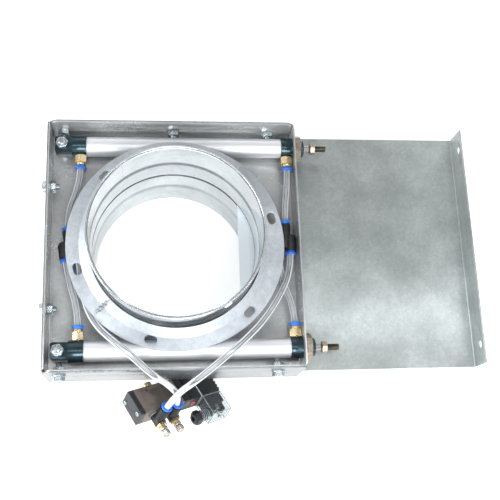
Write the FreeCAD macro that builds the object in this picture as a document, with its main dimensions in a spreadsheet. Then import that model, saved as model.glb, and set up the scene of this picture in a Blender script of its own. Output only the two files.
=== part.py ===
import FreeCAD, Part
import math
import os
import re
import Sketcher

# Pneumatic blast gate for round duct. Origin: duct axis at the front plate's upper face.
# +Z runs along the duct, +X is the way the blade pulls out, +Y is up in the picture.

V = FreeCAD.Vector
Rotation = FreeCAD.Rotation
doc = FreeCAD.newDocument("BlastGate")
sheet = doc.addObject("Spreadsheet::Sheet", "Sizes")

sizes = {
    # Duct and housing sheet metal
    "bore_radius": 100,
    "housing_sheet": 1.5,
    "blade_sheet": 1.5,
    "blade_gap": 0.3,
    "end_gap": 6.5,
    "cylinder_offset": 27,
    "edge_margin": 24.8,
    "front_wall_height": 43.5,
    "rear_wall_depth": 35,
    "bend_radius": 2.5,
    "corner_round": 13,
    "end_round": 7,
    "spacer_width": 24,
    # Spigots
    "spigot_wall": 1,
    "spigot_height": 84.7,
    "foot_width": 12,
    "foot_sheet": 1,
    "bead_height": 36,
    "bead_half": 4.5,
    "bead_rise": 2.2,
    "lip_roll": 1.7,
    # Loose flange rings
    "ring_fit": 3.6,
    "ring_cone": 10.9,
    "ring_flat": 15.3,
    "ring_rise": 7,
    "ring_sheet": 2.5,
    "ring_slot_length": 15,
    "ring_slot_width": 9.5,
    "ring_slot_count": 6,
    "ring_slot_inset": 10.2,
    "ring_turn": 15,
    "ring_shift_x": 1.2,
    "ring_shift_y": -1.6,
    "rest_gap": 0.3,
    # Blade
    "blade_opening": 289,
    "blade_side_gap": 0.5,
    "blade_flange_height": 34,
    "rod_hole": 9,
    "blade_pull": 218.5,
    # Cylinders
    "axis_height": 22,
    "barrel_outer": 12,
    "barrel_inner": 10,
    "barrel_length": 241,
    "cap_radius": 13,
    "cap_spigot": 8,
    "cap_fit": 0.05,
    "front_cap_length": 14.5,
    "rear_cap_length": 16.8,
    "eye_length": 20.7,
    "eye_width": 20,
    "eye_height": 16,
    "eye_hole": 8.4,
    "eye_inset": 8.7,
    "eye_round": 3,
    "wrench_flat": 11,
    "wrench_length": 8,
    "chamber_radius": 5.5,
    "nose_radius": 10.9,
    "nose_length": 14.5,
    "nose_clearance": 0.3,
    "nose_nut_flats": 30,
    "nose_nut_height": 9,
    "rod_radius": 4,
    "rod_fit": 0.05,
    "rod_out": 42.4,
    "piston_length": 24,
    "piston_fit": 0.1,
    "bush_radius": 6,
    "bush_length": 9,
    "seal_radius": 6.5,
    "seal_length": 4,
    "rod_nut_flats": 13,
    "rod_nut_height": 6.5,
    "rod_nut_back": 14.4,
    "port_flat": 12.4,
    "port_inset": 7,
    "port_radius": 4.85,
    "port_depth": 6,
    "port_passage": 2,
    # Clevis posts
    "stud_radius": 4,
    "stud_length": 39.5,
    "clevis_spacer_radius": 7,
    "clevis_nut_flats": 13,
    "clevis_nut_height": 6.5,
    # Wall bolts
    "bolt_radius": 4,
    "bolt_fit": 0.25,
    "bolt_length": 15.6,
    "bolt_flats": 13,
    "bolt_head": 5.3,
    "washer_radius": 8,
    "washer_thick": 1.6,
    "wall_nut_height": 6.5,
    "wall_bolt_height": 17.5,
    "side_bolt_spread": 76,
    # Push-in fittings on the cylinder ports
    "fitting_thread": 4.8,
    "fitting_thread_length": 5.6,
    "fitting_hex": 14,
    "fitting_hex_length": 10.4,
    "fitting_round": 6.75,
    "fitting_round_length": 2.6,
    "tube_radius": 4,
    "socket_fit": 0.15,
    "socket_depth": 7,
    "collar_radius": 7.25,
    "collar_length": 4.5,
    "collar_gap": 0.3,
    # Y unions
    "union_radius": 7,
    "union_leg_spread": 15,
    "union_length": 33.2,
    "union_leg_length": 14.5,
    "union_socket": 10,
    "left_union_x": -121.9,
    "left_union_y": -15.2,
    "left_union_turn": 8.5,
    "right_union_x": 133.6,
    "right_union_y": -7.6,
    "right_union_turn": -3,
    # Solenoid valve, in its own frame, and where it hangs
    "valve_x": -46.6,
    "valve_y": -187.3,
    "valve_z": -19.5,
    "valve_yaw": 18.8,
    "valve_pitch": 29.4,
    "valve_roll": -20.8,
    "valve_length": 56,
    "valve_width": 35,
    "valve_thick": 22,
    "end_cap_length": 7,
    "pilot_length": 26,
    "coil_length": 30,
    "coil_side": 14,
    "coil_half_thick": 12,
    "spool_bore": 5.5,
    "spool_land": 5.4,
    "spool_neck": 3.2,
    "spool_end": 3,
    "port_a": 17,
    "port_b": 37,
    "inlet_place": 28,
    "exhaust_spread": 19,
    "exhaust_radius": 4.25,
    "exhaust_depth": 8,
    "mount_hole": 1.65,
    "mount_hole_side": 12,
    "mount_hole_one": 17,
    "mount_hole_two": 39,
    "valve_round": 1,
    "screw_radius": 1.5,
    "screw_head": 2.9,
    "screw_length": 6,
    "screw_spread": 12,
    "inlet_radius": 6,
    "inlet_bore": 4.15,
    "inlet_reach": 8,
    "banjo_thread": 8,
    "banjo_gap": 0.6,
    "banjo_radius": 7.2,
    "banjo_length": 13,
    "arm_radius": 6.75,
    "arm_reach": 21.3,
    "arm_height": 6.45,
    "arm_socket": 12.3,
    "arm_collar": 7,
    "arm_lean_a": 6,
    "arm_lean_b": -5,
    "tube_lead_a": 26,
    "tube_lead_b": 17,
    "stem_radius": 4.2,
    "stem_hex": 12,
    "stem_hex_length": 4,
    "stem_neck": 4,
    "neck_length": 1.2,
    "needle_radius": 2,
    "knob_radius": 5,
    "knob_length": 7.2,
    "knob_gap": 1,
    "lock_nut_radius": 5.2,
    "lock_nut_length": 2.8,
    "button_radius": 3.5,
    "button_place": 17,
    "button_depth": 7,
    "button_proud": 0.8,
    "button_travel": 1.5,
    "coil_round": 1.5,
    "coil_axis": -1.5,
    "coil_nut_flats": 12,
    "coil_nut_height": 3,
    "connector_length": 28,
    "connector_reach": 28,
    "connector_wall": 1.6,
    "connector_thick": 22,
    "plug_gap": 0.3,
    "terminal_depth": 19,
    "gland_side": 20.5,
    "gland_radius": 7,
    "gland_length": 10,
    "gland_nut_flats": 17,
    "gland_nut_length": 10,
    "gland_bore": 3.5,
}
for row, (name, number) in enumerate(sizes.items(), 1):
    sheet.set("A%d" % row, name)
    sheet.set("B%d" % row, str(number))
    sheet.setAlias("B%d" % row, name)
doc.recompute()


def full(text):
    return re.sub(r"\b([a-z][a-z0-9_]*[a-z0-9])\b(?!\s*\()", r"Sizes.\1", str(text))


def value(text):
    return float(sheet.evalExpression(full(text)))


def link(item, path, text):
    item.setExpression(path, full(text))


def point(a, b, c=0):
    return V(value(a), value(b), value(c))


turns = {
    "+Z": Rotation(),
    "-Z": Rotation(V(1, 0, 0), 180),
    "+X": Rotation(V(0, 1, 0), 90),
    "-X": Rotation(V(0, 1, 0), -90),
    "+Y": Rotation(V(1, 0, 0), -90),
    "-Y": Rotation(V(1, 0, 0), 90),
}


def place(item, at, way="+Z", spin=0):
    item.Placement = FreeCAD.Placement(V(0, 0, 0), turns[way] * Rotation(V(0, 0, 1), spin))
    for axis, text in zip("xyz", at):
        link(item, "Placement.Base." + axis, text)
    return item


# Sketches: every corner is held by its two distances from the origin

def sketch(body, plane, lift="0"):
    sk = body.newObject("Sketcher::SketchObject", body.Name + "Sketch")
    origin = [part for part in body.Origin.OriginFeatures if part.Role == plane][0]
    sk.AttachmentSupport = (origin, [""])
    sk.MapMode = "FlatFace"
    if lift != "0":
        link(sk, "AttachmentOffset.Base.z", lift)
    return sk


def outline(sk, corners, arcs=None):
    # arcs: number of the corner where an arc starts -> (centre x, centre y, radius)
    arcs = arcs or {}
    spots = [point(a, b) for a, b in corners]
    count = len(spots)
    first = sk.GeometryCount
    for i, spot in enumerate(spots):
        after = spots[(i + 1) % count]
        if i in arcs:
            centre = point(arcs[i][0], arcs[i][1])
            radius = value(arcs[i][2])
            middle = ((spot + after) * 0.5 - centre).normalize() * radius + centre
            sk.addGeometry(Part.Arc(spot, middle, after), False)
        else:
            sk.addGeometry(Part.LineSegment(spot, after), False)
    # an arc runs counterclockwise in the sketch, so its start may be the second corner
    ends = []
    for i in range(count):
        ends.append((1, 2))
        if i in arcs:
            centre = point(arcs[i][0], arcs[i][1])
            if (spots[i] - centre).cross(spots[(i + 1) % count] - centre).z < 0:
                ends[i] = (2, 1)
    for i in range(count):
        after = (i + 1) % count
        sk.addConstraint(Sketcher.Constraint("Coincident", first + i, ends[i][1],
                                             first + after, ends[after][0]))
    for i, (a, b) in enumerate(corners):
        for kind, text, number in (("DistanceX", a, spots[i].x), ("DistanceY", b, spots[i].y)):
            k = sk.addConstraint(Sketcher.Constraint(kind, -1, 1, first + i, ends[i][0], number))
            sk.setExpression("Constraints[%d]" % k, full(text))
        if i in arcs:
            k = sk.addConstraint(Sketcher.Constraint("Radius", first + i, value(arcs[i][2])))
            sk.setExpression("Constraints[%d]" % k, full(arcs[i][2]))
    return sk


def rings(sk, circles):
    for a, b, radius in circles:
        spot = point(a, b)
        i = sk.addGeometry(Part.Circle(spot, V(0, 0, 1), value(radius)), False)
        for kind, text, number in (("DistanceX", a, spot.x), ("DistanceY", b, spot.y)):
            k = sk.addConstraint(Sketcher.Constraint(kind, -1, 1, i, 3, number))
            sk.setExpression("Constraints[%d]" % k, full(text))
        k = sk.addConstraint(Sketcher.Constraint("Radius", i, value(radius)))
        sk.setExpression("Constraints[%d]" % k, full(radius))
    return sk


def box_sketch(sk, x_low, x_high, y_low, y_high):
    return outline(sk, [(x_low, y_low), (x_high, y_low), (x_high, y_high), (x_low, y_high)])


def new_body(name):
    item = doc.addObject("PartDesign::Body", "Body_" + name)
    item.Label = name
    return item


def pad(body, sk, length, reverse=False, middle=False):
    item = body.newObject("PartDesign::Pad", body.Name + "Pad")
    item.Profile = sk
    item.Reversed = reverse
    if middle:
        item.SideType = "Symmetric"
    link(item, "Length", length)
    doc.recompute()
    return item


def pocket(body, sk, length=None, reverse=False, middle=False):
    before = body.Shape.Volume
    item = body.newObject("PartDesign::Pocket", body.Name + "Pocket")
    item.Profile = sk
    item.Reversed = reverse
    if middle:
        item.SideType = "Symmetric"
    if length is None:
        item.Type = "ThroughAll"
    else:
        link(item, "Length", length)
    doc.recompute()
    if body.Shape.Volume > before - 0.01:
        raise ValueError("nothing removed by " + item.Name)
    return item


def revolve(body, sk):
    item = body.newObject("PartDesign::Revolution", body.Name + "Turn")
    item.Profile = sk
    item.ReferenceAxis = (sk, ["V_Axis"])
    item.Angle = 360
    doc.recompute()
    return item


def turned(name, corners, at=("0", "0", "0"), way="+Z", arcs=None):
    body = new_body(name)
    revolve(body, outline(sketch(body, "XZ_Plane"), corners, arcs))
    return place(body, at, way)


def edges_where(shape, test):
    return ["Edge%d" % (i + 1) for i, edge in enumerate(shape.Edges) if test(edge)]


def round_edges(body, feature, radius, test):
    names = edges_where(feature.Shape, test)
    item = body.newObject("PartDesign::Fillet", body.Name + "Fillet")
    item.Base = (feature, names)
    link(item, "Radius", radius)
    doc.recompute()
    return item


# Plain solids

def rod(name, radius, length, at, way="+Z"):
    item = doc.addObject("Part::Cylinder", name)
    link(item, "Radius", radius)
    link(item, "Height", length)
    return place(item, at, way)


def hexagon(name, flats, length, at, way="+Z", spin=0):
    item = doc.addObject("Part::Prism", name)
    item.Polygon = 6
    link(item, "Circumradius", "(%s) / sqrt(3)" % flats)
    link(item, "Height", length)
    return place(item, at, way, spin)


def block(name, length, width, height, at):
    item = doc.addObject("Part::Box", name)
    link(item, "Length", length)
    link(item, "Width", width)
    link(item, "Height", height)
    return place(item, at)


def fuse(name, items):
    item = doc.addObject("Part::MultiFuse", name)
    item.Shapes = items
    item.Refine = True
    return item


def cut(name, base, tools):
    tool = tools[0]
    if len(tools) > 1:
        tool = doc.addObject("Part::Compound", name + "Tools")
        tool.Links = tools
    item = doc.addObject("Part::Cut", name)
    item.Base = base
    item.Tool = tool
    return item


nodes = {}


def node(name, item):
    item.Label = name
    nodes[name] = item
    return item


def group(name, items):
    item = doc.addObject("Part::Compound", "Group_" + name)
    item.Links = items
    return node(name, item)


# Levels and stations that several pieces share

slot = "(blade_sheet + 2 * blade_gap)"
front_low = "(-housing_sheet)"
rear_high = "(-housing_sheet - %s)" % slot
rear_low = "(-2 * housing_sheet - %s)" % slot
axis_y = "(bore_radius + cylinder_offset)"
tray_x = ("((housing_sheet + front_cap_length + barrel_length + rear_cap_length + eye_length + end_gap)"
          " / 2)")
wall_reach = "(%s - bore_radius)" % tray_x
tray_y = "(%s + edge_margin)" % axis_y
wrap_x = "(%s + housing_sheet)" % tray_x
wrap_y = "(%s + housing_sheet)" % tray_y
rear_end = "(%s - rear_wall_depth)" % rear_high
barrel_front = "(%s - housing_sheet - front_cap_length)" % tray_x
barrel_back = "(%s - barrel_length)" % barrel_front
cap_back = "(%s - rear_cap_length)" % barrel_back
eye_x = "(%s - eye_length + eye_inset)" % cap_back
front_port = "(%s + port_inset)" % barrel_front
rear_port = "(%s - port_inset)" % barrel_back

# Housing: two folded trays back to back, held apart by a spacer strip and a side wrapper


def tray(name, face, end, up):
    body = new_body(name)
    deep = "abs(%s - %s)" % (end, face)
    base = pad(body, box_sketch(sketch(body, "XY_Plane", face), "-" + tray_x, tray_x,
                                "-" + tray_y, tray_y), deep, reverse=not up)
    bottom = value(face)
    bends = round_edges(body, base, "bend_radius",
                        lambda edge: abs(edge.BoundBox.ZMin - bottom) < 1e-4
                        and abs(edge.BoundBox.ZMax - bottom) < 1e-4)
    rim = value(end)
    names = ["Face%d" % (i + 1) for i, side in enumerate(bends.Shape.Faces)
             if abs(side.BoundBox.ZMin - rim) < 1e-4 and abs(side.BoundBox.ZMax - rim) < 1e-4]
    shell = body.newObject("PartDesign::Thickness", body.Name + "Shell")
    shell.Base = (bends, names)
    shell.Reversed = True
    shell.Join = "Arc"
    link(shell, "Value", "housing_sheet")
    doc.recompute()
    # open folded corners
    for sx in ("-", ""):
        for sy in ("-", ""):
            corner = sketch(body, "XY_Plane")
            xs = [sx + tray_x, "%s(%s - bend_radius)" % (sx, tray_x)]
            ys = [sy + tray_y, "%s(%s - bend_radius)" % (sy, tray_y)]
            box_sketch(corner, xs[0], xs[1], ys[0], ys[1])
            pocket(body, corner, "4 * front_wall_height", middle=True)
    pocket(body, rings(sketch(body, "XY_Plane"), [("0", "0", "bore_radius")]),
           "4 * front_wall_height", middle=True)
    return body


front_tray = tray("front_tray", front_low, "front_wall_height", True)
holes = sketch(front_tray, "YZ_Plane", "bore_radius")
rings(holes, [(axis_y, "axis_height", "nose_radius + nose_clearance"),
              ("-" + axis_y, "axis_height", "nose_radius + nose_clearance")])
pocket(front_tray, holes, "2 * " + wall_reach, reverse=True)


def round_corners(body, plane, half, far, size, thick, sides=("-", "")):
    # the wall tops run down in a quarter round at their ends
    top = "front_wall_height"
    for side in sides:
        corners = [("%s(%s - %s)" % (side, far, size), top),
                   ("%s(%s - %s)" % (side, far, size), top + " + 1"),
                   ("%s(%s + 1)" % (side, far), top + " + 1"),
                   ("%s(%s + 1)" % (side, far), "%s - %s" % (top, size)),
                   ("%s(%s)" % (side, far), "%s - %s" % (top, size))]
        if side == "-":
            corners.reverse()
        curve = ("%s(%s - %s)" % (side, far, size), "%s - %s" % (top, size), size)
        pocket(body, outline(sketch(body, plane, half), corners, {4: curve}), thick,
               reverse=half[0] == "-")


for half in ("(%s + 0.01)" % tray_y, "-(%s + 0.01)" % tray_y):
    round_corners(front_tray, "XZ_Plane", half, tray_x, "corner_round", "bend_radius + 0.02")
for half in ("(%s + 0.01)" % tray_x, "-(%s + 0.01)" % tray_x):
    round_corners(front_tray, "YZ_Plane", half, tray_y, "end_round", "bend_radius + 0.02")
bolt_x = ["-bore_radius - 34.5", "0.5", "bore_radius + 19.5"]


def wall_bolt_holes(body):
    # three bolts through the upper wall, two through the lower
    for stations, lower in ((bolt_x, False), (bolt_x[::2], True)):
        sk = rings(sketch(body, "XZ_Plane"),
                   [(x, "wall_bolt_height", "bolt_radius + bolt_fit") for x in stations])
        pocket(body, sk, "2 * " + tray_y, reverse=lower)


wall_bolt_holes(front_tray)
side_holes = sketch(front_tray, "YZ_Plane", "-bore_radius")
rings(side_holes, [("side_bolt_spread", "wall_bolt_height", "bolt_radius + bolt_fit"),
                   ("-side_bolt_spread", "wall_bolt_height", "bolt_radius + bolt_fit")])
pocket(front_tray, side_holes, "2 * " + wall_reach)
node("front_tray", front_tray)

rear_tray = tray("rear_tray", rear_high, rear_end, False)
node("rear_tray", rear_tray)

wrapper = new_body("side_wrapper")
pad(wrapper, outline(sketch(wrapper, "XY_Plane", rear_end), [
    (tray_x, "-" + wrap_y), (tray_x, "-" + tray_y), ("-" + tray_x, "-" + tray_y),
    ("-" + tray_x, tray_y), (tray_x, tray_y), (tray_x, wrap_y),
    ("-" + wrap_x, wrap_y), ("-" + wrap_x, "-" + wrap_y)]),
    "front_wall_height - " + rear_end)
for half in ("(%s + 0.01)" % wrap_y, "-(%s + 0.01)" % wrap_y):
    round_corners(wrapper, "XZ_Plane", half, wrap_x, "corner_round", "housing_sheet + 0.02")
round_corners(wrapper, "YZ_Plane", "-(%s + 0.01)" % wrap_x, wrap_y, "end_round", "housing_sheet + 0.02")
wall_bolt_holes(wrapper)
side_holes = sketch(wrapper, "YZ_Plane", "-bore_radius")
rings(side_holes, [("side_bolt_spread", "wall_bolt_height", "bolt_radius + bolt_fit"),
                   ("-side_bolt_spread", "wall_bolt_height", "bolt_radius + bolt_fit")])
pocket(wrapper, side_holes, "2 * " + wall_reach)
node("side_wrapper", wrapper)

node("slot_spacer", block("SlotSpacer", "spacer_width", "2 * (%s - bend_radius)" % tray_y, slot,
                          ("-%s + bend_radius" % tray_x, "-%s + bend_radius" % tray_y, rear_high)))

# Spigots: beaded sheet tube with a foot flange and a rolled lip
bead_bend = "((bead_half * bead_half + bead_rise * bead_rise) / (2 * bead_rise))"
tube_out = "(bore_radius + spigot_wall)"
roll = "(%s + lip_roll)" % tube_out
spigot_corners = [
    ("bore_radius", "0"),
    ("%s + foot_width" % tube_out, "0"),
    ("%s + foot_width" % tube_out, "foot_sheet"),
    (tube_out, "foot_sheet"),
    (tube_out, "bead_height - bead_half"),
    (tube_out, "bead_height + bead_half"),
    (tube_out, "spigot_height - 2 * lip_roll"),
    (roll, "spigot_height - 2 * lip_roll"),
    (roll + " + lip_roll", "spigot_height - lip_roll"),
    (roll, "spigot_height"),
    (tube_out, "spigot_height"),
    ("bore_radius", "spigot_height - spigot_wall"),
    ("bore_radius", "bead_height + bead_half"),
    ("bore_radius", "bead_height - bead_half"),
]
spigot_arcs = {
    4: ("%s + bead_rise - %s" % (tube_out, bead_bend), "bead_height", bead_bend),
    7: (roll, "spigot_height - lip_roll", "lip_roll"),
    8: (roll, "spigot_height - lip_roll", "lip_roll"),
    10: (tube_out, "spigot_height - spigot_wall", "spigot_wall"),
    12: ("bore_radius + bead_rise - %s" % bead_bend, "bead_height", bead_bend),
}
node("front_spigot", turned("front_spigot", spigot_corners, arcs=spigot_arcs))
node("rear_spigot", turned("rear_spigot", spigot_corners, ("0", "0", rear_low), "-Z", spigot_arcs))

# Loose flange rings: dished ring with six slots
rim = "(bore_radius + ring_fit)"
crease = "(%s + ring_cone)" % rim
ring_out = "(%s + ring_flat)" % crease


def flange_ring(name, at, way):
    body = new_body(name)
    revolve(body, outline(sketch(body, "XZ_Plane"), [
        (ring_out, "0"), (ring_out, "ring_sheet"), (crease, "ring_sheet"),
        (rim, "ring_rise + ring_sheet"), (rim, "ring_rise"), (crease, "0")]))
    far = "(%s - ring_slot_inset)" % ring_out
    half = "(ring_slot_width / 2)"
    mid = "((ring_slot_length - ring_slot_width) / 2)"
    corners = [(far + " - " + half, "-" + mid), (far, "-%s - %s" % (mid, half)),
               (far + " + " + half, "-" + mid), (far + " + " + half, mid),
               (far, mid + " + " + half), (far + " - " + half, mid)]
    arcs = {0: (far, "-" + mid, half), 1: (far, "-" + mid, half),
            3: (far, mid, half), 4: (far, mid, half)}
    slots = pocket(body, outline(sketch(body, "XY_Plane"), corners, arcs), "4 * ring_sheet", middle=True)
    copies = body.newObject("PartDesign::PolarPattern", body.Name + "Pattern")
    copies.Originals = [slots]
    copies.Axis = ([part for part in body.Origin.OriginFeatures if part.Role == "Z_Axis"][0], [""])
    copies.Angle = 360
    link(copies, "Occurrences", "ring_slot_count")
    body.Tip = copies
    place(body, at, way)
    body.Placement = FreeCAD.Placement(body.Placement.Base,
                                       turns[way] * Rotation(V(0, 0, 1), value("ring_turn")))
    doc.recompute()
    return node(name, body)


ring_seat = "(axis_height + barrel_outer + rest_gap)"
rear_seat = "(%s - spigot_height + 2 * lip_roll + rest_gap)" % rear_low
flange_ring("front_flange_ring", ("ring_shift_x", "ring_shift_y", ring_seat), "+Z")
flange_ring("rear_flange_ring", ("0", "0", rear_seat + " + ring_rise + ring_sheet"), "-Z")

# Blade: flat sheet with a turned-up flange that the two rods bolt to
blade_low = "(%s + blade_gap)" % rear_high
blade_high = "(%s + blade_sheet)" % blade_low
flange_in = "(%s + blade_pull)" % tray_x
flange_out = "(%s + blade_sheet)" % flange_in
inner_bend = "(bend_radius - blade_sheet)"
blade = new_body("blade")
pad(blade, outline(sketch(blade, "XZ_Plane"), [
    (flange_in + " - blade_opening", blade_low),
    (flange_out + " - bend_radius", blade_low),
    (flange_out, blade_low + " + bend_radius"),
    (flange_out, "blade_flange_height"),
    (flange_in, "blade_flange_height"),
    (flange_in, blade_low + " + bend_radius"),
    (flange_out + " - bend_radius", blade_high),
    (flange_in + " - blade_opening", blade_high)],
    {1: (flange_out + " - bend_radius", blade_low + " + bend_radius", "bend_radius"),
     5: (flange_out + " - bend_radius", blade_low + " + bend_radius", inner_bend)}),
    "2 * (%s - blade_side_gap)" % tray_y, middle=True)
rod_holes = sketch(blade, "YZ_Plane", tray_x)
rings(rod_holes, [(axis_y, "axis_height", "rod_hole / 2"), ("-" + axis_y, "axis_height", "rod_hole / 2")])
pocket(blade, rod_holes, "2 * blade_pull", reverse=True)
node("blade", blade)

# Cylinders: two alike, ports facing the duct

def cylinder(side, sign):
    at_y = sign + axis_y
    inward = "+" if sign == "-" else "-"
    barrel = turned(side + "_barrel", [("barrel_inner", "0"), ("barrel_outer", "0"),
                                       ("barrel_outer", "barrel_length"),
                                       ("barrel_inner", "barrel_length")],
                    (barrel_back, at_y, "axis_height"), "+X")
    node(side + "_barrel", barrel)

    def port(body, along):
        # flat and threaded hole on the side that faces the duct
        sk = sketch(body, "XZ_Plane", ("-cap_radius" if inward == "+" else "cap_radius"))
        box_sketch(sk, "-cap_radius", "cap_radius", along + " - fitting_hex / sqrt(3)",
                   along + " + port_inset")
        pocket(body, sk, "cap_radius - port_flat", reverse=(inward == "+"))
        sk = sketch(body, "XZ_Plane", ("-cap_radius" if inward == "+" else "cap_radius"))
        rings(sk, [("0", along, "port_radius")])
        pocket(body, sk, "cap_radius - port_flat + port_depth", reverse=(inward == "+"))
        sk = sketch(body, "XZ_Plane", ("-cap_radius" if inward == "+" else "cap_radius"))
        rings(sk, [("0", along, "port_passage")])
        pocket(body, sk, "cap_radius", reverse=(inward == "+"))

    # rear cap: spigot into the barrel, round cap and the drilled eye block
    rear = new_body(side + "_rear_cap")
    end = "(eye_length + rear_cap_length)"
    revolve(rear, outline(sketch(rear, "XZ_Plane"), [
        ("0", "eye_length - 0.5"), ("cap_radius", "eye_length - 0.5"), ("cap_radius", end),
        ("barrel_inner - cap_fit", end), ("barrel_inner - cap_fit", end + " + cap_spigot"),
        ("chamber_radius", end + " + cap_spigot"), ("chamber_radius", "eye_length + 5"),
        ("0", "eye_length + 5")]))
    eye = pad(rear, box_sketch(sketch(rear, "XY_Plane"), "-eye_height / 2", "eye_height / 2",
                               "-eye_width / 2", "eye_width / 2"), "eye_length")
    round_edges(rear, eye, "eye_round",
                lambda edge: edge.BoundBox.ZMax < 1e-4 and edge.BoundBox.XLength > 1)
    pocket(rear, rings(sketch(rear, "YZ_Plane"), [("0", "eye_inset", "eye_hole / 2")]),
           "4 * cap_radius", middle=True)
    port(rear, end + " - port_inset")
    place(rear, (cap_back + " - eye_length", at_y, "axis_height"), "+X")
    node(side + "_rear_cap", rear)

    # front cap: spigot, cap with two wrench flats, threaded nose through the wall
    front = new_body(side + "_front_cap")
    shoulder = "(cap_spigot + front_cap_length)"
    tip = "(%s + nose_length)" % shoulder
    revolve(front, outline(sketch(front, "XZ_Plane"), [
        ("chamber_radius", "0"), ("barrel_inner - cap_fit", "0"),
        ("barrel_inner - cap_fit", "cap_spigot"), ("cap_radius", "cap_spigot"),
        ("cap_radius", shoulder), ("nose_radius", shoulder), ("nose_radius", tip + " - 1"),
        ("nose_radius - 1", tip), ("seal_radius", tip),
        ("seal_radius", tip + " - seal_length - rest_gap"),
        ("bush_radius", tip + " - seal_length - rest_gap"),
        ("bush_radius", tip + " - seal_length - 2 * rest_gap - bush_length"),
        ("chamber_radius", tip + " - seal_length - 2 * rest_gap - bush_length")]))
    for low, high in (("wrench_flat", "cap_radius + 1"), ("-cap_radius - 1", "-wrench_flat")):
        sk = sketch(front, "YZ_Plane", low if low[0] != "-" else "-cap_radius - 1")
        box_sketch(sk, "-cap_radius", "cap_radius", shoulder + " - wrench_length", shoulder + " - 1.5")
        pocket(front, sk, "cap_radius + 1 - wrench_flat", reverse=True)
    port(front, "(cap_spigot + port_inset)")
    place(front, (barrel_front + " - cap_spigot", at_y, "axis_height"), "+X")
    node(side + "_front_cap", front)

    # rod, piston and rod nut move together
    rod_back = "(%s + cap_spigot + rest_gap)" % barrel_back
    rod_tip = "(%s + rod_out)" % tray_x
    node(side + "_rod", turned(side + "_rod", [
        ("0", "0"), ("rod_radius", "0"), ("rod_radius", "%s - %s - 1" % (rod_tip, rod_back)),
        ("rod_radius - 1", "%s - %s" % (rod_tip, rod_back)), ("0", "%s - %s" % (rod_tip, rod_back))],
        (rod_back, at_y, "axis_height"), "+X"))
    node(side + "_piston", turned(side + "_piston", [
        ("rod_radius", "0"), ("barrel_inner - piston_fit", "0"),
        ("barrel_inner - piston_fit", "piston_length * 0.35"),
        ("barrel_inner - piston_fit - 1.5", "piston_length * 0.35"),
        ("barrel_inner - piston_fit - 1.5", "piston_length * 0.65"),
        ("barrel_inner - piston_fit", "piston_length * 0.65"),
        ("barrel_inner - piston_fit", "piston_length"), ("rod_radius", "piston_length")],
        (rod_back, at_y, "axis_height"), "+X"))
    nut_x = "(%s - rod_nut_back - rod_nut_height)" % rod_tip
    nut = cut(side.title() + "RodNut", hexagon("RodNutHex", "rod_nut_flats", "rod_nut_height",
                                               (nut_x, at_y, "axis_height"), "+X"),
              [rod("RodNutBore", "rod_radius", "rod_nut_height", (nut_x, at_y, "axis_height"), "+X")])
    node(side + "_rod_nut", nut)

    # pieces that the two cylinders share with their fellows
    nose_nut = cut(side.title() + "NoseNut",
                   hexagon("NoseNutHex", "nose_nut_flats", "nose_nut_height",
                           (tray_x, at_y, "axis_height"), "+X", 30),
                   [rod("NoseNutBore", "nose_radius + cap_fit", "nose_nut_height",
                        (tray_x, at_y, "axis_height"), "+X")])
    nose_tip = "(%s - housing_sheet + nose_length)" % tray_x
    bush = turned(side + "_bush", [
        ("rod_radius + rod_fit", "0"), ("bush_radius", "0"), ("bush_radius", "bush_length"),
        ("rod_radius + rod_fit", "bush_length")],
        (nose_tip + " - seal_length - 2 * rest_gap - bush_length", at_y, "axis_height"), "+X")
    seal = turned(side + "_seal", [
        ("rod_radius + rod_fit", "0"), ("seal_radius", "0"), ("seal_radius", "seal_length"),
        ("rod_radius + rod_fit", "seal_length")],
        (nose_tip + " - seal_length", at_y, "axis_height"), "+X")
    stud = turned(side + "_stud", [
        ("0", "0"), ("stud_radius", "0"), ("stud_radius", "stud_length - 0.8"),
        ("stud_radius - 0.8", "stud_length"), ("0", "stud_length")], (eye_x, at_y, "0"))
    lift = "(axis_height - eye_height / 2)"
    spacer = turned(side + "_spacer", [
        ("eye_hole / 2", "0"), ("clevis_spacer_radius", "0"), ("clevis_spacer_radius", lift),
        ("eye_hole / 2", lift)], (eye_x, at_y, "0"))
    clevis_nut = cut(side.title() + "ClevisNut",
                     hexagon("ClevisNutHex", "clevis_nut_flats", "clevis_nut_height",
                             (eye_x, at_y, "axis_height + eye_height / 2"), "+Z", 12),
                     [rod("ClevisNutBore", "stud_radius", "clevis_nut_height",
                          (eye_x, at_y, "axis_height + eye_height / 2"))])

    # push-in fittings in the two ports
    way = inward + "Y"
    step = "" if inward == "+" else "-"
    fittings = []
    collars = []
    for along in (rear_port, front_port):
        start = "%s %s port_flat" % (at_y, inward)

        def spot(distance):
            return (along, "%s %s (%s)" % (start, inward, distance), "axis_height")

        hexa = hexagon("FittingHex", "fitting_hex", "fitting_hex_length", spot("0"), way, 30)
        neck = rod("FittingRound", "fitting_round", "fitting_round_length",
                   spot("fitting_hex_length"), way)
        thread = rod("FittingThread", "fitting_thread", "fitting_thread_length",
                     spot("-fitting_thread_length"), way)
        socket = rod("FittingSocket", "tube_radius + socket_fit", "socket_depth + 1",
                     spot("fitting_hex_length + fitting_round_length - socket_depth"), way)
        passage = rod("FittingPassage", "tube_radius - 1.5", "3 * fitting_hex_length",
                      spot("-fitting_thread_length - 1"), way)
        fittings.append(cut("Fitting", fuse("FittingBody", [hexa, neck, thread]), [socket, passage]))
        gap = "fitting_hex_length + fitting_round_length + collar_gap"
        collar = cut("Collar", rod("CollarOut", "collar_radius", "collar_length", spot(gap), way),
                     [rod("CollarBore", "tube_radius + socket_fit", "collar_length + 2",
                          spot(gap + " - 1"), way)])
        collars.append(collar)
    return {"nose_nuts": nose_nut, "rod_bushes": bush, "rod_seals": seal, "clevis_studs": stud,
            "clevis_spacers": spacer, "clevis_nuts": clevis_nut, "port_fittings": fittings,
            "port_collars": collars}


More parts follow.
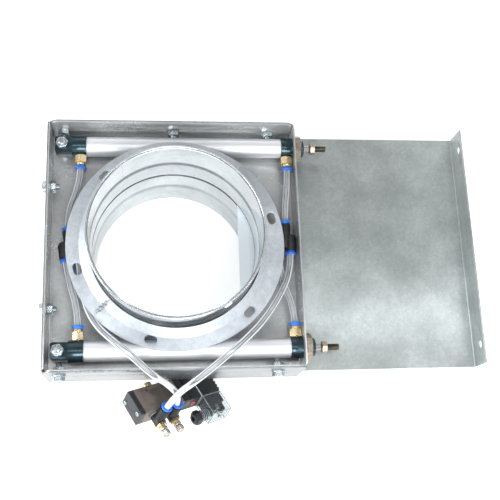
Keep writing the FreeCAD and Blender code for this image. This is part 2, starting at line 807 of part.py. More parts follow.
upper = cylinder("upper", "")
lower = cylinder("lower", "-")
for name in upper:
    parts = upper[name] if isinstance(upper[name], list) else [upper[name]]
    parts = parts + (lower[name] if isinstance(lower[name], list) else [lower[name]])
    group(name, parts)

# Wall bolts: the wrapper is bolted to the front tray, heads outside, nuts inside
bolts = []
nuts = []
bolt_spots = [((x, sign + wrap_y), "+Y" if sign == "" else "-Y")
              for sign in ("", "-") for x in (bolt_x if sign == "" else bolt_x[::2])]
bolt_spots += [(("-" + wrap_x, sign + "side_bolt_spread"), "-X") for sign in ("", "-")]
for (at_x, at_y), way in bolt_spots:
    step = way[0]
    other = "-" if step == "+" else "+"

    def spot(outward):
        text = "%s (%s)" % (step, outward)
        if way[1] == "X":
            return (at_x + " " + text, at_y, "wall_bolt_height")
        return (at_x, at_y + " " + text, "wall_bolt_height")

    washer = rod("BoltWasher", "washer_radius", "washer_thick", spot("0"), way)
    head = hexagon("BoltHead", "bolt_flats", "bolt_head", spot("washer_thick"), way, 7)
    shank = rod("BoltShank", "bolt_radius", "bolt_length", spot("washer_thick - bolt_length"), way)
    bolts.append(fuse("Bolt", [washer, head, shank]))
    inside = "-2 * housing_sheet - wall_nut_height"
    nuts.append(cut("WallNut", hexagon("WallNutHex", "bolt_flats", "wall_nut_height",
                                       spot(inside), way, 19),
                    [rod("WallNutBore", "bolt_radius", "wall_nut_height + 2",
                         spot(inside + " - 1"), way)]))
group("wall_bolts", bolts)
group("wall_nuts", nuts)

# Y unions: one end up, two legs down, each socket with a release collar


def union(side):
    at = ("%s_union_x" % side, "%s_union_y" % side, "axis_height")
    spin = value(side + "_union_turn")
    half = "union_leg_spread / 2"
    solids = [rod("UnionStem", "union_radius", "union_length - union_leg_length + 4",
                  ("0", "union_leg_length - 4", "0"), "+Y")]
    holes = [rod("UnionSocket", "tube_radius + socket_fit", "union_socket + 1",
                 ("0", "union_length - union_socket", "0"), "+Y"),
             rod("UnionPassage", "tube_radius - 1.5", "union_length - union_socket - union_leg_length + 5",
                 ("0", "union_leg_length - 4", "0"), "+Y"),
             rod("UnionCross", "tube_radius - 2", "union_leg_spread + 2",
                 ("-%s - 1" % half, "union_leg_length - 1.3", "0"), "+X")]
    collars = [("0", "union_length + collar_gap")]
    for sign in ("-", ""):
        x = sign + half
        solids.append(rod("UnionLeg", "union_radius", "union_leg_length", (x, "0", "0"), "+Y"))
        ball = doc.addObject("Part::Sphere", "UnionShoulder")
        link(ball, "Radius", "union_radius")
        solids.append(place(ball, (x, "union_leg_length", "0")))
        holes.append(rod("UnionSocket", "tube_radius + socket_fit", "union_socket + 1",
                         (x, "-1", "0"), "+Y"))
        holes.append(rod("UnionPassage", "tube_radius - 1.5", "union_leg_length + 1 - union_socket",
                         (x, "union_socket", "0"), "+Y"))
        collars.append((x, "-collar_gap - collar_length"))
    solids.append(block("UnionWeb", "union_leg_spread", "union_leg_length - 3", "2 * union_radius - 4",
                        ("-" + half, "3", "2 - union_radius")))
    body = cut(side.title() + "Union", fuse("UnionSolid", solids), holes)
    place(body, at, "+Z", spin)
    rings_cut = []
    for x, y in collars:
        rings_cut.append(cut("UnionCollar", rod("UnionCollarOut", "union_radius", "collar_length",
                                                (x, y, "0"), "+Y"),
                             [rod("UnionCollarBore", "tube_radius + socket_fit", "collar_length + 2",
                                  (x, y + " - 1", "0"), "+Y")]))
    trio = doc.addObject("Part::Compound", side.title() + "UnionCollars")
    trio.Links = rings_cut
    place(trio, at, "+Z", spin)
    node(side + "_union", body)
    return trio


group("union_collars", [union("left"), union("right")])

# Solenoid valve. Its own frame: x along the body to the coil, y toward the housing wall, z up.
# It hangs on its two tubes in front of the housing.
valve_turn = Rotation(value("valve_yaw"), value("valve_pitch"), value("valve_roll"))


def hang(name, items):
    item = doc.addObject("Part::Compound", "Valve_" + name)
    item.Links = items
    item.Placement = FreeCAD.Placement(V(0, 0, 0), valve_turn)
    for axis in "xyz":
        link(item, "Placement.Base." + axis, "valve_" + axis)
    return node(name, item)


def rounded(item, radius, test):
    doc.recompute()
    fillet = doc.addObject("Part::Fillet", item.Name + "Round")
    fillet.Base = item
    number = value(radius)
    fillet.Edges = [(i + 1, number, number) for i, edge in enumerate(item.Shape.Edges) if test(edge)]
    return fillet


def along_x(edge):
    return edge.BoundBox.XLength > 0.9 * edge.Length


face = "-valve_width / 2"
back = "valve_width / 2"
thread_hole = "fitting_thread + 0.05"
valve_holes = [rod("SpoolBore", "spool_bore", "valve_length + 2", ("-1", "0", "0"), "+X")]
for place_x in ("port_a", "port_b"):
    valve_holes.append(rod("ValvePort", thread_hole, "banjo_thread + rest_gap",
                           (place_x, face + " + banjo_thread + rest_gap", "0"), "-Y"))
    valve_holes.append(rod("ValvePassage", "port_passage", "valve_width / 2", (place_x, face, "0"), "+Y"))
valve_holes.append(rod("ValveInlet", thread_hole, "banjo_thread + rest_gap",
                       ("inlet_place", back + " - banjo_thread - rest_gap", "0"), "+Y"))
for place_x in ("inlet_place", "inlet_place - exhaust_spread", "inlet_place + exhaust_spread"):
    valve_holes.append(rod("ValvePassage", "port_passage", "valve_width / 2", (place_x, "0", "0"), "+Y"))
for place_x in ("inlet_place - exhaust_spread", "inlet_place + exhaust_spread"):
    valve_holes.append(rod("Exhaust", "exhaust_radius", "exhaust_depth + 1",
                           (place_x, back + " - exhaust_depth", "0"), "+Y"))
for place_x in ("mount_hole_one", "mount_hole_two"):
    valve_holes.append(rod("MountHole", "mount_hole", "2 * valve_thick",
                           (place_x, "mount_hole_side", "-valve_thick"), "+Z"))
screw_spots = [("-screw_spread", "screw_spread / 2.4"), ("screw_spread", "-screw_spread / 2.4")]
for y, z in screw_spots:
    valve_holes.append(rod("ScrewHole", "screw_radius", "screw_length", ("-1", y, z), "+X"))
brown = block("ValveBlock", "valve_length", "valve_width", "valve_thick",
              ("0", face, "-valve_thick / 2"))
hang("valve_body", [cut("ValveBody", rounded(brown, "valve_round", along_x), valve_holes)])

# end cap, waisted on both broad sides, with a blind bore behind the spool
cap_holes = [rod("EndCapBore", "spool_bore", "end_cap_length - 2", ("2 - end_cap_length", "0", "0"), "+X")]
for y, z in screw_spots:
    cap_holes.append(rod("ScrewHole", "screw_radius", "end_cap_length + 2",
                         ("-end_cap_length - 1", y, z), "+X"))
for z in ("valve_thick / 2 - 1.2", "-valve_thick / 2 - 1.2"):
    cap_holes.append(block("Waist", "end_cap_length / 2", "valve_width * 0.42", "2.4",
                           ("-end_cap_length * 0.75", "-valve_width * 0.21", z)))
end_block = block("EndBlock", "end_cap_length", "valve_width", "valve_thick",
                  ("-end_cap_length", face, "-valve_thick / 2"))
hang("valve_end_cap", [cut("EndCap", rounded(end_block, "valve_round", along_x), cap_holes)])
screws = []
for y, z in screw_spots:
    shank = rod("ScrewShank", "screw_radius", "end_cap_length + screw_length - 1.3",
                ("-end_cap_length", y, z), "+X")
    head = rod("ScrewHead", "screw_head", "1.6", ("-end_cap_length", y, z), "-X")
    slot_cut = block("ScrewSlot", "1", "2 * screw_head", "0.8",
                     ("-end_cap_length - 1.7", "%s - screw_head" % y, "%s - 0.4" % z))
    screws.append(cut("EndScrew", fuse("EndScrewSolid", [shank, head]), [slot_cut]))
hang("end_cap_screws", screws)

# spool with three lands
spool_long = "(valve_length - 2 * spool_end)"
spool = turned("spool", [
    ("0", "0"), ("spool_land", "0"), ("spool_land", "8"), ("spool_neck", "8"),
    ("spool_neck", "%s / 2 - 5" % spool_long), ("spool_land", "%s / 2 - 5" % spool_long),
    ("spool_land", "%s / 2 + 5" % spool_long), ("spool_neck", "%s / 2 + 5" % spool_long),
    ("spool_neck", "%s - 8" % spool_long), ("spool_land", "%s - 8" % spool_long),
    ("spool_land", spool_long), ("0", spool_long)],
    ("2 * spool_end - rest_gap", "0", "0"), "+X")
hang("spool", [spool])

# pilot block with the override button's well, then the coil and its nut
pilot_block = block("PilotBlock", "pilot_length", "valve_width", "valve_thick",
                    ("valve_length", face, "-valve_thick / 2"))
button_x = "valve_length + button_place"
pilot_holes = [rod("ButtonWell", "button_radius + rest_gap", "button_depth + 1",
                   (button_x, face + " - 1", "0"), "+Y"),
               block("PilotGroove", "1.4", "valve_width + 2", "1.4",
                     ("valve_length + 9", face + " - 1", "valve_thick / 2 - 0.7")),
               block("PilotGroove", "1.4", "valve_width + 2", "1.4",
                     ("valve_length + 9", face + " - 1", "-valve_thick / 2 - 0.7"))]
hang("valve_pilot", [cut("Pilot", rounded(pilot_block, "valve_round", along_x), pilot_holes)])
button_base = rod("ButtonBase", "button_radius", "button_depth - button_travel - 0.7 + button_proud",
                  (button_x, face + " - button_proud", "0"), "+Y")
hang("override_button", [rounded(button_base, "0.5", lambda edge: edge.Length > 1 and abs(
    edge.BoundBox.YMin - value(face + " - button_proud")) < 1e-4)])
coil_x = "valve_length + pilot_length"
coil_block = block("CoilBlock", "coil_length", "coil_side + valve_width / 2", "2 * coil_half_thick",
                   (coil_x, face, "-coil_half_thick"))
hang("solenoid_coil", [rounded(coil_block, "coil_round", along_x)])
coil_nut = fuse("CoilNut", [
    hexagon("CoilNutHex", "coil_nut_flats", "coil_nut_height",
            (coil_x + " + coil_length", "coil_axis", "0"), "+X", 11),
    rod("CoilNutStem", "coil_nut_flats / 4", "coil_nut_height + 1.5",
        (coil_x + " + coil_length", "coil_axis", "0"), "+X")])
hang("coil_nut", [coil_nut])

# brass inlet adapter on the wall side
adapter = fuse("AdapterSolid", [
    rod("AdapterThread", "fitting_thread", "banjo_thread", ("inlet_place", back, "0"), "-Y"),
    rod("AdapterRound", "inlet_radius", "inlet_reach", ("inlet_place", back, "0"), "+Y")])
hang("inlet_adapter", [cut("Adapter", adapter, [
    rod("AdapterBore", "inlet_bore", "inlet_reach + 1",
        ("inlet_place", back + " + 1", "0"), "+Y"),
    rod("AdapterPassage", "tube_radius - 1.5", "inlet_reach + banjo_thread + 2",
        ("inlet_place", back + " - banjo_thread - 1", "0"), "+Y")])])

# speed controllers on the two ports: banjo and arm, brass stem, lock nut, needle knob
banjos = []
stems = []
locks = []
arm_collars = []
seats = {}
for letter in ("a", "b"):
    px = "port_" + letter
    lean = math.radians(value("arm_lean_" + letter))
    aim = V(math.sin(lean), 0, math.cos(lean))
    depth = "(banjo_gap + arm_height)"
    arm_turn = Rotation(V(0, 0, 1), aim)

    def arm_rod(name, radius, length, reach):
        item = doc.addObject("Part::Cylinder", name)
        link(item, "Radius", radius)
        link(item, "Height", length)
        item.Placement = FreeCAD.Placement(V(0, 0, 0), arm_turn)
        link(item, "Placement.Base.x", "%s + (%s) * sin(arm_lean_%s)" % (px, reach, letter))
        link(item, "Placement.Base.y", "%s - %s" % (face, depth))
        link(item, "Placement.Base.z", "(%s) * cos(arm_lean_%s)" % (reach, letter))
        return item

    def down(name, radius, low, high):
        return rod(name, radius, "(%s) - (%s)" % (high, low), (px, "%s - (%s)" % (face, low), "0"), "-Y")

    top = "banjo_gap + banjo_length"
    banjo = fuse("BanjoSolid", [down("Banjo", "banjo_radius", "banjo_gap", top),
                                arm_rod("Arm", "arm_radius", "arm_reach", "0")])
    banjos.append(cut("BanjoBody", banjo, [
        down("BanjoBore", "stem_radius + rod_fit", "0", top + " + 1"),
        arm_rod("ArmSocket", "tube_radius + socket_fit", "arm_reach", "arm_reach - arm_socket"),
        arm_rod("ArmPassage", "tube_radius - 1.5", "arm_reach", "0")]))
    arm_collars.append(cut("ArmCollar", arm_rod("ArmCollarOut", "arm_collar", "collar_length",
                                                "arm_reach + collar_gap"),
                           [arm_rod("ArmCollarBore", "tube_radius + socket_fit", "collar_length + 2",
                                    "arm_reach + collar_gap - 1")]))
    stem = fuse("StemSolid", [
        down("StemThread", "fitting_thread", "-banjo_thread", "0"),
        down("StemShank", "stem_radius", "-1", top + " + rest_gap"),
        hexagon("StemHex", "stem_hex", "stem_hex_length",
                (px, "%s - (%s + rest_gap)" % (face, top), "0"), "-Y", 14),
        down("StemNeck", "stem_neck", top, top + " + rest_gap + stem_hex_length + neck_length")])
    stems.append(cut("Stem", stem, [
        down("StemBore", "needle_radius + rod_fit", "-banjo_thread - 1", "3 * " + "banjo_length")]))
    neck_top = "%s + rest_gap + stem_hex_length + neck_length" % top
    locks.append(cut("LockNut", down("LockNutOut", "lock_nut_radius", neck_top + " + rest_gap",
                                     neck_top + " + rest_gap + lock_nut_length"),
                     [down("LockNutBore", "needle_radius + rod_fit", neck_top,
                           neck_top + " + rest_gap + lock_nut_length + 1")]))
    knob_low = neck_top + " + rest_gap + lock_nut_length + knob_gap"
    knob = down("Knob", "knob_radius", knob_low, knob_low + " + knob_length")
    knob_round = rounded(knob, "0.6", lambda edge: edge.Length > 20)
    hang("needle_knob_" + letter, [fuse("KnobSolid", [knob_round, down(
        "Needle", "needle_radius", "banjo_gap + 3", knob_low + " + 1")])])
    pose = FreeCAD.Placement(point("valve_x", "valve_y", "valve_z"), valve_turn)
    middle = point(px, "%s - %s" % (face, depth))
    seats[letter] = [pose.multVec(middle + aim * value(reach)) for reach in
                     ("arm_reach - arm_socket + 2", "arm_reach + tube_lead_" + letter)]
hang("controller_bodies", banjos)
hang("controller_stems", stems)
hang("controller_lock_nuts", locks)
hang("controller_collars", arm_collars)

# clear plug housing on the coil, its terminal block, screw and cable gland
plug_x = "%s + 1" % coil_x
plug_y = "%s - plug_gap - connector_reach" % face
plug_out = block("PlugBlock", "connector_length", "connector_reach", "connector_thick",
                 (plug_x, plug_y, "-connector_thick / 2"))
gland_y = "%s - gland_side" % face
tube_out_x = "%s - gland_length" % plug_x
plug_solid = fuse("PlugSolid", [
    rounded(plug_out, "coil_round", along_x),
    rod("GlandTube", "gland_radius", "gland_length + 2", (tube_out_x, gland_y, "0"), "+X")])
plug_holes = [
    block("PlugRoom", "connector_length - 2 * connector_wall", "connector_reach",
          "connector_thick - 2 * connector_wall",
          (plug_x + " + connector_wall", plug_y + " + connector_wall",
           "connector_wall - connector_thick / 2")),
    rod("GlandBore", "gland_radius - connector_wall", "gland_length + connector_wall + 2",
        (tube_out_x + " - 1", gland_y, "0"), "+X"),
    rod("PlugScrewHole", "screw_radius + 0.1", "connector_wall + 2",
        (plug_x + " + connector_length / 2", plug_y + " - 1", "0"), "+Y")]
hang("plug_housing", [cut("PlugHousing", plug_solid, plug_holes)])
room = "connector_wall + rest_gap"
hang("terminal_block", [cut("Terminal", block(
    "TerminalBlock", "connector_length - 2 * (%s)" % room, "terminal_depth",
    "connector_thick - 2 * (%s)" % room,
    (plug_x + " + " + room, face + " - plug_gap - terminal_depth", room + " - connector_thick / 2")),
    [rod("TerminalHole", "screw_radius + 0.1", "terminal_depth + 2",
         (plug_x + " + connector_length / 2", face + " - plug_gap + 1", "0"), "-Y")])])
plug_screw = fuse("PlugScrewSolid", [
    rod("PlugScrewHead", "screw_head", "1.8", (plug_x + " + connector_length / 2", plug_y, "0"), "-Y"),
    rod("PlugScrewShank", "screw_radius", "connector_reach + plug_gap - 0.3",
        (plug_x + " + connector_length / 2", plug_y, "0"), "+Y")])
hang("plug_screw", [plug_screw])
nut_x = "%s - gland_nut_length" % tube_out_x
hang("gland_nut", [cut("GlandNut", hexagon("GlandNutHex", "gland_nut_flats", "gland_nut_length",
                                           (nut_x, gland_y, "0"), "+X", 8),
                       [rod("GlandNutBore", "gland_bore", "gland_nut_length + 2",
                            (nut_x + " - 1", gland_y, "0"), "+X")])])
hang("gland_seal", [cut("GlandSeal", rod("GlandSealOut", "gland_radius - connector_wall - 0.1",
                                         "gland_length - 2", (tube_out_x, gland_y, "0"), "+X"),
                        [rod("GlandSealBore", "gland_bore", "gland_length",
                             (tube_out_x + " - 1", gland_y, "0"), "+X")])])

# Air tubes: straight runs joined by tangent arcs


def tube(name, spots):
    radius = value("tube_radius")
    runs = [(b - a).Length for a, b in zip(spots, spots[1:])]
    edges = []
    start = spots[0]
    radii = []
    for i in range(1, len(spots) - 1):
        into = (spots[i] - spots[i - 1]).normalize()
        out = (spots[i + 1] - spots[i]).normalize()
        turn = into.getAngle(out)
        bend = 0.45 * min(runs[i - 1], runs[i]) / math.tan(turn / 2)
        reach = bend * math.tan(turn / 2)
        first = spots[i] - into * reach
        last = spots[i] + out * reach
        inward = (out - into).normalize()
        middle = spots[i] + inward * (bend / math.cos(turn / 2) - bend)
        edges.append(Part.LineSegment(start, first).toShape())
        edges.append(Part.Arc(first, middle, last).toShape())
        start = last
        radii.append(round(bend))
    edges.append(Part.LineSegment(start, spots[-1]).toShape())
    spine = Part.Wire(edges)
    circle = Part.Wire(Part.Circle(spots[0], (spots[1] - spots[0]).normalize(), radius).toShape())
    item = doc.addObject("Part::Feature", "Tube")
    item.Shape = spine.makePipeShell([circle], True, True)
    node(name, item)
    share = item.Shape.Volume / (math.pi * radius * radius * spine.Length)
    print("%-18s length %.1f, bend radii %s, volume share %.4f" % (name, spine.Length, radii, share))


def union_spot(side, x, y):
    turn = math.radians(value(side + "_union_turn"))
    return point(side + "_union_x", side + "_union_y", "axis_height") + V(
        x * math.cos(turn) - y * math.sin(turn), x * math.sin(turn) + y * math.cos(turn), 0)


high = value("axis_height")
leg = value("union_leg_spread / 2")
seat = value("union_socket")
crown = value("union_length - union_socket")
port_seat = value("%s - port_flat - fitting_hex_length - fitting_round_length + socket_depth" % axis_y)
left_x = value(rear_port)
right_x = value(front_port)
tube("upper_left_tube", [V(left_x, port_seat, high), V(left_x, 80, high),
                         union_spot("left", 0, crown + 29), union_spot("left", 0, crown)])
tube("lower_left_tube", [union_spot("left", -leg, seat), union_spot("left", -leg, -25),
                         V(left_x, -80, high), V(left_x, -port_seat, high)])
tube("left_valve_tube", [union_spot("left", leg, seat), union_spot("left", leg, -20),
                         V(-106, -72, 24), V(-91.7, -100, 32.5), V(-70.4, -120.6, 43),
                         V(-48, -141, 51.5), V(-27, -160.5, 48.5), V(-9.5, -166.5, 18),
                         seats["b"][1], seats["b"][0]])
tube("upper_right_tube", [V(right_x, port_seat, high), V(right_x, 82, high),
                          union_spot("right", 0, crown + 30), union_spot("right", 0, crown)])
tube("lower_right_tube", [union_spot("right", -leg, seat), union_spot("right", -leg, -14),
                          V(131.5, -50, 17.5), V(right_x, -80, high), V(right_x, -port_seat, high)])
tube("right_valve_tube", [union_spot("right", leg, seat), union_spot("right", leg, -15),
                          V(132, -52, 30), V(105.2, -93.9, 37), V(77, -122.4, 48), V(50, -145, 58),
                          V(22, -166.5, 52.5), seats["a"][1], seats["a"][0]])

doc.recompute()
failed = [item.Name for item in doc.Objects if "Invalid" in item.State or "Error" in item.State]
if failed:
    raise ValueError("failed: %s" % failed)
for name, item in nodes.items():
    if item.Shape.isNull() or not item.Shape.isValid():
        raise ValueError("bad shape: " + name)
os.makedirs("parts", exist_ok=True)
for name, item in nodes.items():
    item.Shape.exportStep("parts/%s.step" % name)
    box = item.Shape.BoundBox
    print("%-20s %2d solids %8.0f mm3  X %7.1f..%6.1f  Y %7.1f..%6.1f  Z %6.1f..%5.1f" % (
        name, len(item.Shape.Solids), item.Shape.Volume, box.XMin, box.XMax, box.YMin, box.YMax,
        box.ZMin, box.ZMax))
print(len(nodes), "nodes")
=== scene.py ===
import math
import bmesh
import bpy
from mathutils import Matrix, Vector


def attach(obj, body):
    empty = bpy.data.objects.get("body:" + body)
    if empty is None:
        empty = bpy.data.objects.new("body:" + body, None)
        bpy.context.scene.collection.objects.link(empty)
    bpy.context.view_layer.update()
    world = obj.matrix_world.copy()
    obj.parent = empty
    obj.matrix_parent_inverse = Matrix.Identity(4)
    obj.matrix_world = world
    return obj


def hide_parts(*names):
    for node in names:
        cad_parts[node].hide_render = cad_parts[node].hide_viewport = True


# Pneumatic blast gate: +Z along the duct, +X the way the blade pulls out, +Y toward the upper cylinder.
# Pieces are drawn in millimetres and turned to metres when they are finished.

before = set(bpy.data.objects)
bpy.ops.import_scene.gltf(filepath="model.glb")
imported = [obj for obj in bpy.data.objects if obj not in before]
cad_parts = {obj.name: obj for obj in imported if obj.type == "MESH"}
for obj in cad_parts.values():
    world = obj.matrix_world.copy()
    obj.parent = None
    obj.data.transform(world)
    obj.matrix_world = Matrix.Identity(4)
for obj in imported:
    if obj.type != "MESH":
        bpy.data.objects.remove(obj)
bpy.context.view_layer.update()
scene = bpy.context.scene
print("frame loaded,", len(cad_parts), "nodes")


def addObject(name, data):
    thing = bpy.data.objects.new(name, data)
    scene.collection.objects.link(thing)
    return thing


# Camera, at the photograph's angle; focal length and width in picture points

cameraView = {
    "place": (-37.0, -291.4, 1009.4), "target": (93.9, 0.0, 0.0), "roll": -2.3, "focal": 850.6,
    "width": 500, "film": 36, "far": 20}


def aimCamera():
    view = cameraView
    data = bpy.data.cameras.new("camera")
    data.sensor_width = view["film"]
    data.lens = view["focal"] / view["width"] * view["film"]
    data.clip_end = view["far"]
    place, target = Vector(view["place"]), Vector(view["target"])
    forward = (target - place).normalized()
    right = forward.cross(Vector((0, 1, 0))).normalized()
    up = right.cross(forward)
    roll = math.radians(view["roll"])
    sideways = right * math.cos(roll) + up * math.sin(roll)
    upward = up * math.cos(roll) - right * math.sin(roll)
    facing = Matrix((sideways, upward, -forward)).transposed().to_4x4()
    scene.camera = addObject("camera", data)
    scene.camera.matrix_world = Matrix.Translation(place / 1000) @ facing


aimCamera()

# Finishes

zinc = {"grain": 3.4, "cloud": 60, "wave": 55, "crystalShare": 0.14, "grainShare": 0.55,
        "span": (0.2, 1.5), "stops": (0.1, 0.48, 0.86)}
plain = {"stops": (0.35, 0.65), "span": (0.3, 0.7)}    # where a noise has its two tones and its gloss range
ductEndLight = {"start": 112, "full": 92, "tone": "#EAF2F7"}    # painted light: the blade's end that reaches into the duct, painted pale bluish-white


def toLinear(code):
    parts = [int(code[i:i + 2], 16) / 255 for i in (1, 3, 5)]
    return tuple(p / 12.92 if p <= 0.04045 else ((p + 0.055) / 1.055) ** 2.4 for p in parts) + (1.0,)


def perMetre(size):
    return 1000 / size    # pattern scale for a feature that many millimetres wide


def addNode(tree, kind, values=None, stops=()):
    # a value is a setting, a socket's number, or the link to it: a socket, or a node for its first output
    node = tree.nodes.new(kind if "Node" in kind else "ShaderNode" + kind)
    for key, value in (values or {}).items():
        if isinstance(value, bpy.types.Node):
            value = value.outputs[0]
        if isinstance(value, bpy.types.NodeSocket):
            tree.links.new(value, node.inputs[key])
        elif isinstance(key, str) and hasattr(node, key):
            setattr(node, key, value)
        else:
            node.inputs[key].default_value = value
    if stops:    # a colour ramp's, with a colour code or a grey at each
        elements = node.color_ramp.elements
        while len(elements) < len(stops):
            elements.new(0.5)
        for element, (spot, tone) in zip(elements, stops):
            element.position = spot
            element.color = toLinear(tone) if isinstance(tone, str) else (tone, tone, tone, 1)
    return node


def startFinish(name):
    material = bpy.data.materials.new(name)
    material.use_nodes = True
    tree = material.node_tree
    tree.nodes.clear()
    return material, tree, addNode(tree, "TexCoord").outputs["Object"]


def closeFinish(tree, tone, pattern, span, rough, height, strength, depth, metal):
    # one pattern gives the colour and the gloss, the height gives the bump
    roughness = addNode(tree, "MapRange", {
        "From Min": span[0], "From Max": span[1], "To Min": rough[0], "To Max": rough[1], "Value": pattern})
    bump = addNode(tree, "Bump", {"Strength": strength, "Distance": depth / 1000, "Height": height})
    shader = addNode(tree, "BsdfPrincipled", {
        "Metallic": metal, "Base Color": tone, "Roughness": roughness, "Normal": bump})
    addNode(tree, "OutputMaterial", {"Surface": shader})


def sheetFinish(name, tones, rough, spangle, swell, metal, edge=None):
    # hot-dip zinc: hazy flat crystals and faint clouds, half mirror, half matt
    material, tree, place = startFinish(name)
    haze = addNode(tree, "TexNoise", {"Scale": perMetre(spangle * 0.6), "Detail": 3.0, "Vector": place})
    drift = addNode(tree, "VectorMath", {
        "operation": "MULTIPLY_ADD", 0: haze.outputs["Color"], 1: (spangle / 900,) * 3, 2: place})
    crystals = addNode(tree, "TexVoronoi", {
        "feature": "SMOOTH_F1", "Scale": perMetre(spangle), "Smoothness": 0.5, "Randomness": 1.0,
        "Vector": drift})
    shade = addNode(tree, "SeparateColor", {"Color": crystals.outputs["Color"]})
    grain = addNode(tree, "TexNoise", {
        "Scale": perMetre(zinc["grain"]), "Detail": 4.0, "Roughness": 0.6, "Distortion": 1.2,
        "Vector": place})
    cloud = addNode(tree, "TexNoise", {"Scale": perMetre(zinc["cloud"]), "Detail": 3.0, "Vector": place})
    both = addNode(tree, "Math", {"operation": "MULTIPLY_ADD", 0: shade, 1: zinc["crystalShare"], 2: cloud})
    mixed = addNode(tree, "Math", {"operation": "MULTIPLY_ADD", 0: grain, 1: zinc["grainShare"], 2: both})
    spread = addNode(tree, "MapRange", {
        "From Min": zinc["span"][0], "From Max": zinc["span"][1], "Value": mixed})
    tone = addNode(tree, "ValToRGB", {"Fac": spread}, list(zip(zinc["stops"], tones)))
    # painted light: where edge is given, the tone turns to its pale colour below x = full mm, fading out by
    # x = start mm
    if edge:
        along = addNode(tree, "SeparateXYZ", {0: place})
        paintedLightShare = addNode(tree, "MapRange", {
            "From Min": edge["start"] / 1000, "From Max": edge["full"] / 1000, "Value": along})
        tone = addNode(tree, "Mix", {
            "data_type": "RGBA", 0: paintedLightShare, 6: tone, 7: toLinear(edge["tone"])}).outputs[2]
    wave = addNode(tree, "TexNoise", {"Scale": perMetre(zinc["wave"]), "Detail": 2.0, "Vector": place})
    closeFinish(tree, tone, spread, (0, 1), rough, wave, 1.0, swell, metal)
    return material


def metalFinish(name, tones, rough, grain, metal=1.0, stretch=(1, 1, 1), depth=0.004):
    # one fine grain, drawn out along the way that the piece was turned or drawn
    material, tree, place = startFinish(name)
    mapped = addNode(tree, "Mapping", {"Scale": stretch, "Vector": place})
    fine = addNode(tree, "TexNoise", {
        "Scale": perMetre(grain), "Detail": 5.0, "Roughness": 0.6, "Vector": mapped})
    tone = addNode(tree, "ValToRGB", {"Fac": fine}, list(zip(plain["stops"], tones)))
    closeFinish(tree, tone, fine, plain["span"], rough, fine, 0.6, depth, metal)
    return material


def mouldedFinish(name, tones, rough, grain, depth=0.01, metal=0.0):
    # fine grain of the mould, and broad faint patches where the plastic flowed
    material, tree, place = startFinish(name)
    fine = addNode(tree, "TexNoise", {"Scale": perMetre(grain), "Detail": 3.0, "Vector": place})
    broad = addNode(tree, "TexNoise", {"Scale": perMetre(grain * 14), "Detail": 2.0, "Vector": place})
    tone = addNode(tree, "ValToRGB", {"Fac": broad}, list(zip(plain["stops"], tones)))
    closeFinish(tree, tone, broad, plain["span"], rough, fine, 0.5, depth, metal)
    return material


def clearFinish(name, rough, share, tint, cloudSize):
    # clear plastic wall: see-through where it faces the eye, pale and glossy where it turns away
    material, tree, place = startFinish(name)
    facing = addNode(tree, "LayerWeight", {"Blend": 0.5}).outputs["Facing"]
    cloud = addNode(tree, "TexNoise", {"Scale": perMetre(cloudSize), "Detail": 2.0, "Vector": place})
    wall = addNode(tree, "Math", {"operation": "MULTIPLY_ADD", 0: cloud, 1: 0.12, 2: facing})
    cover = addNode(tree, "ValToRGB", {"Fac": wall}, share)
    tone = addNode(tree, "ValToRGB", {"Fac": facing}, tint)
    roughness = addNode(tree, "MapRange", {"To Min": rough[0], "To Max": rough[1], "Value": cloud})
    clear = addNode(tree, "BsdfTransparent", {"Color": toLinear("#F6F8F9")})
    gloss = addNode(tree, "BsdfPrincipled", {"IOR": 1.5, "Base Color": tone, "Roughness": roughness})
    mix = addNode(tree, "MixShader", {0: cover, 1: clear, 2: gloss})
    addNode(tree, "OutputMaterial", {"Surface": mix})
    return material


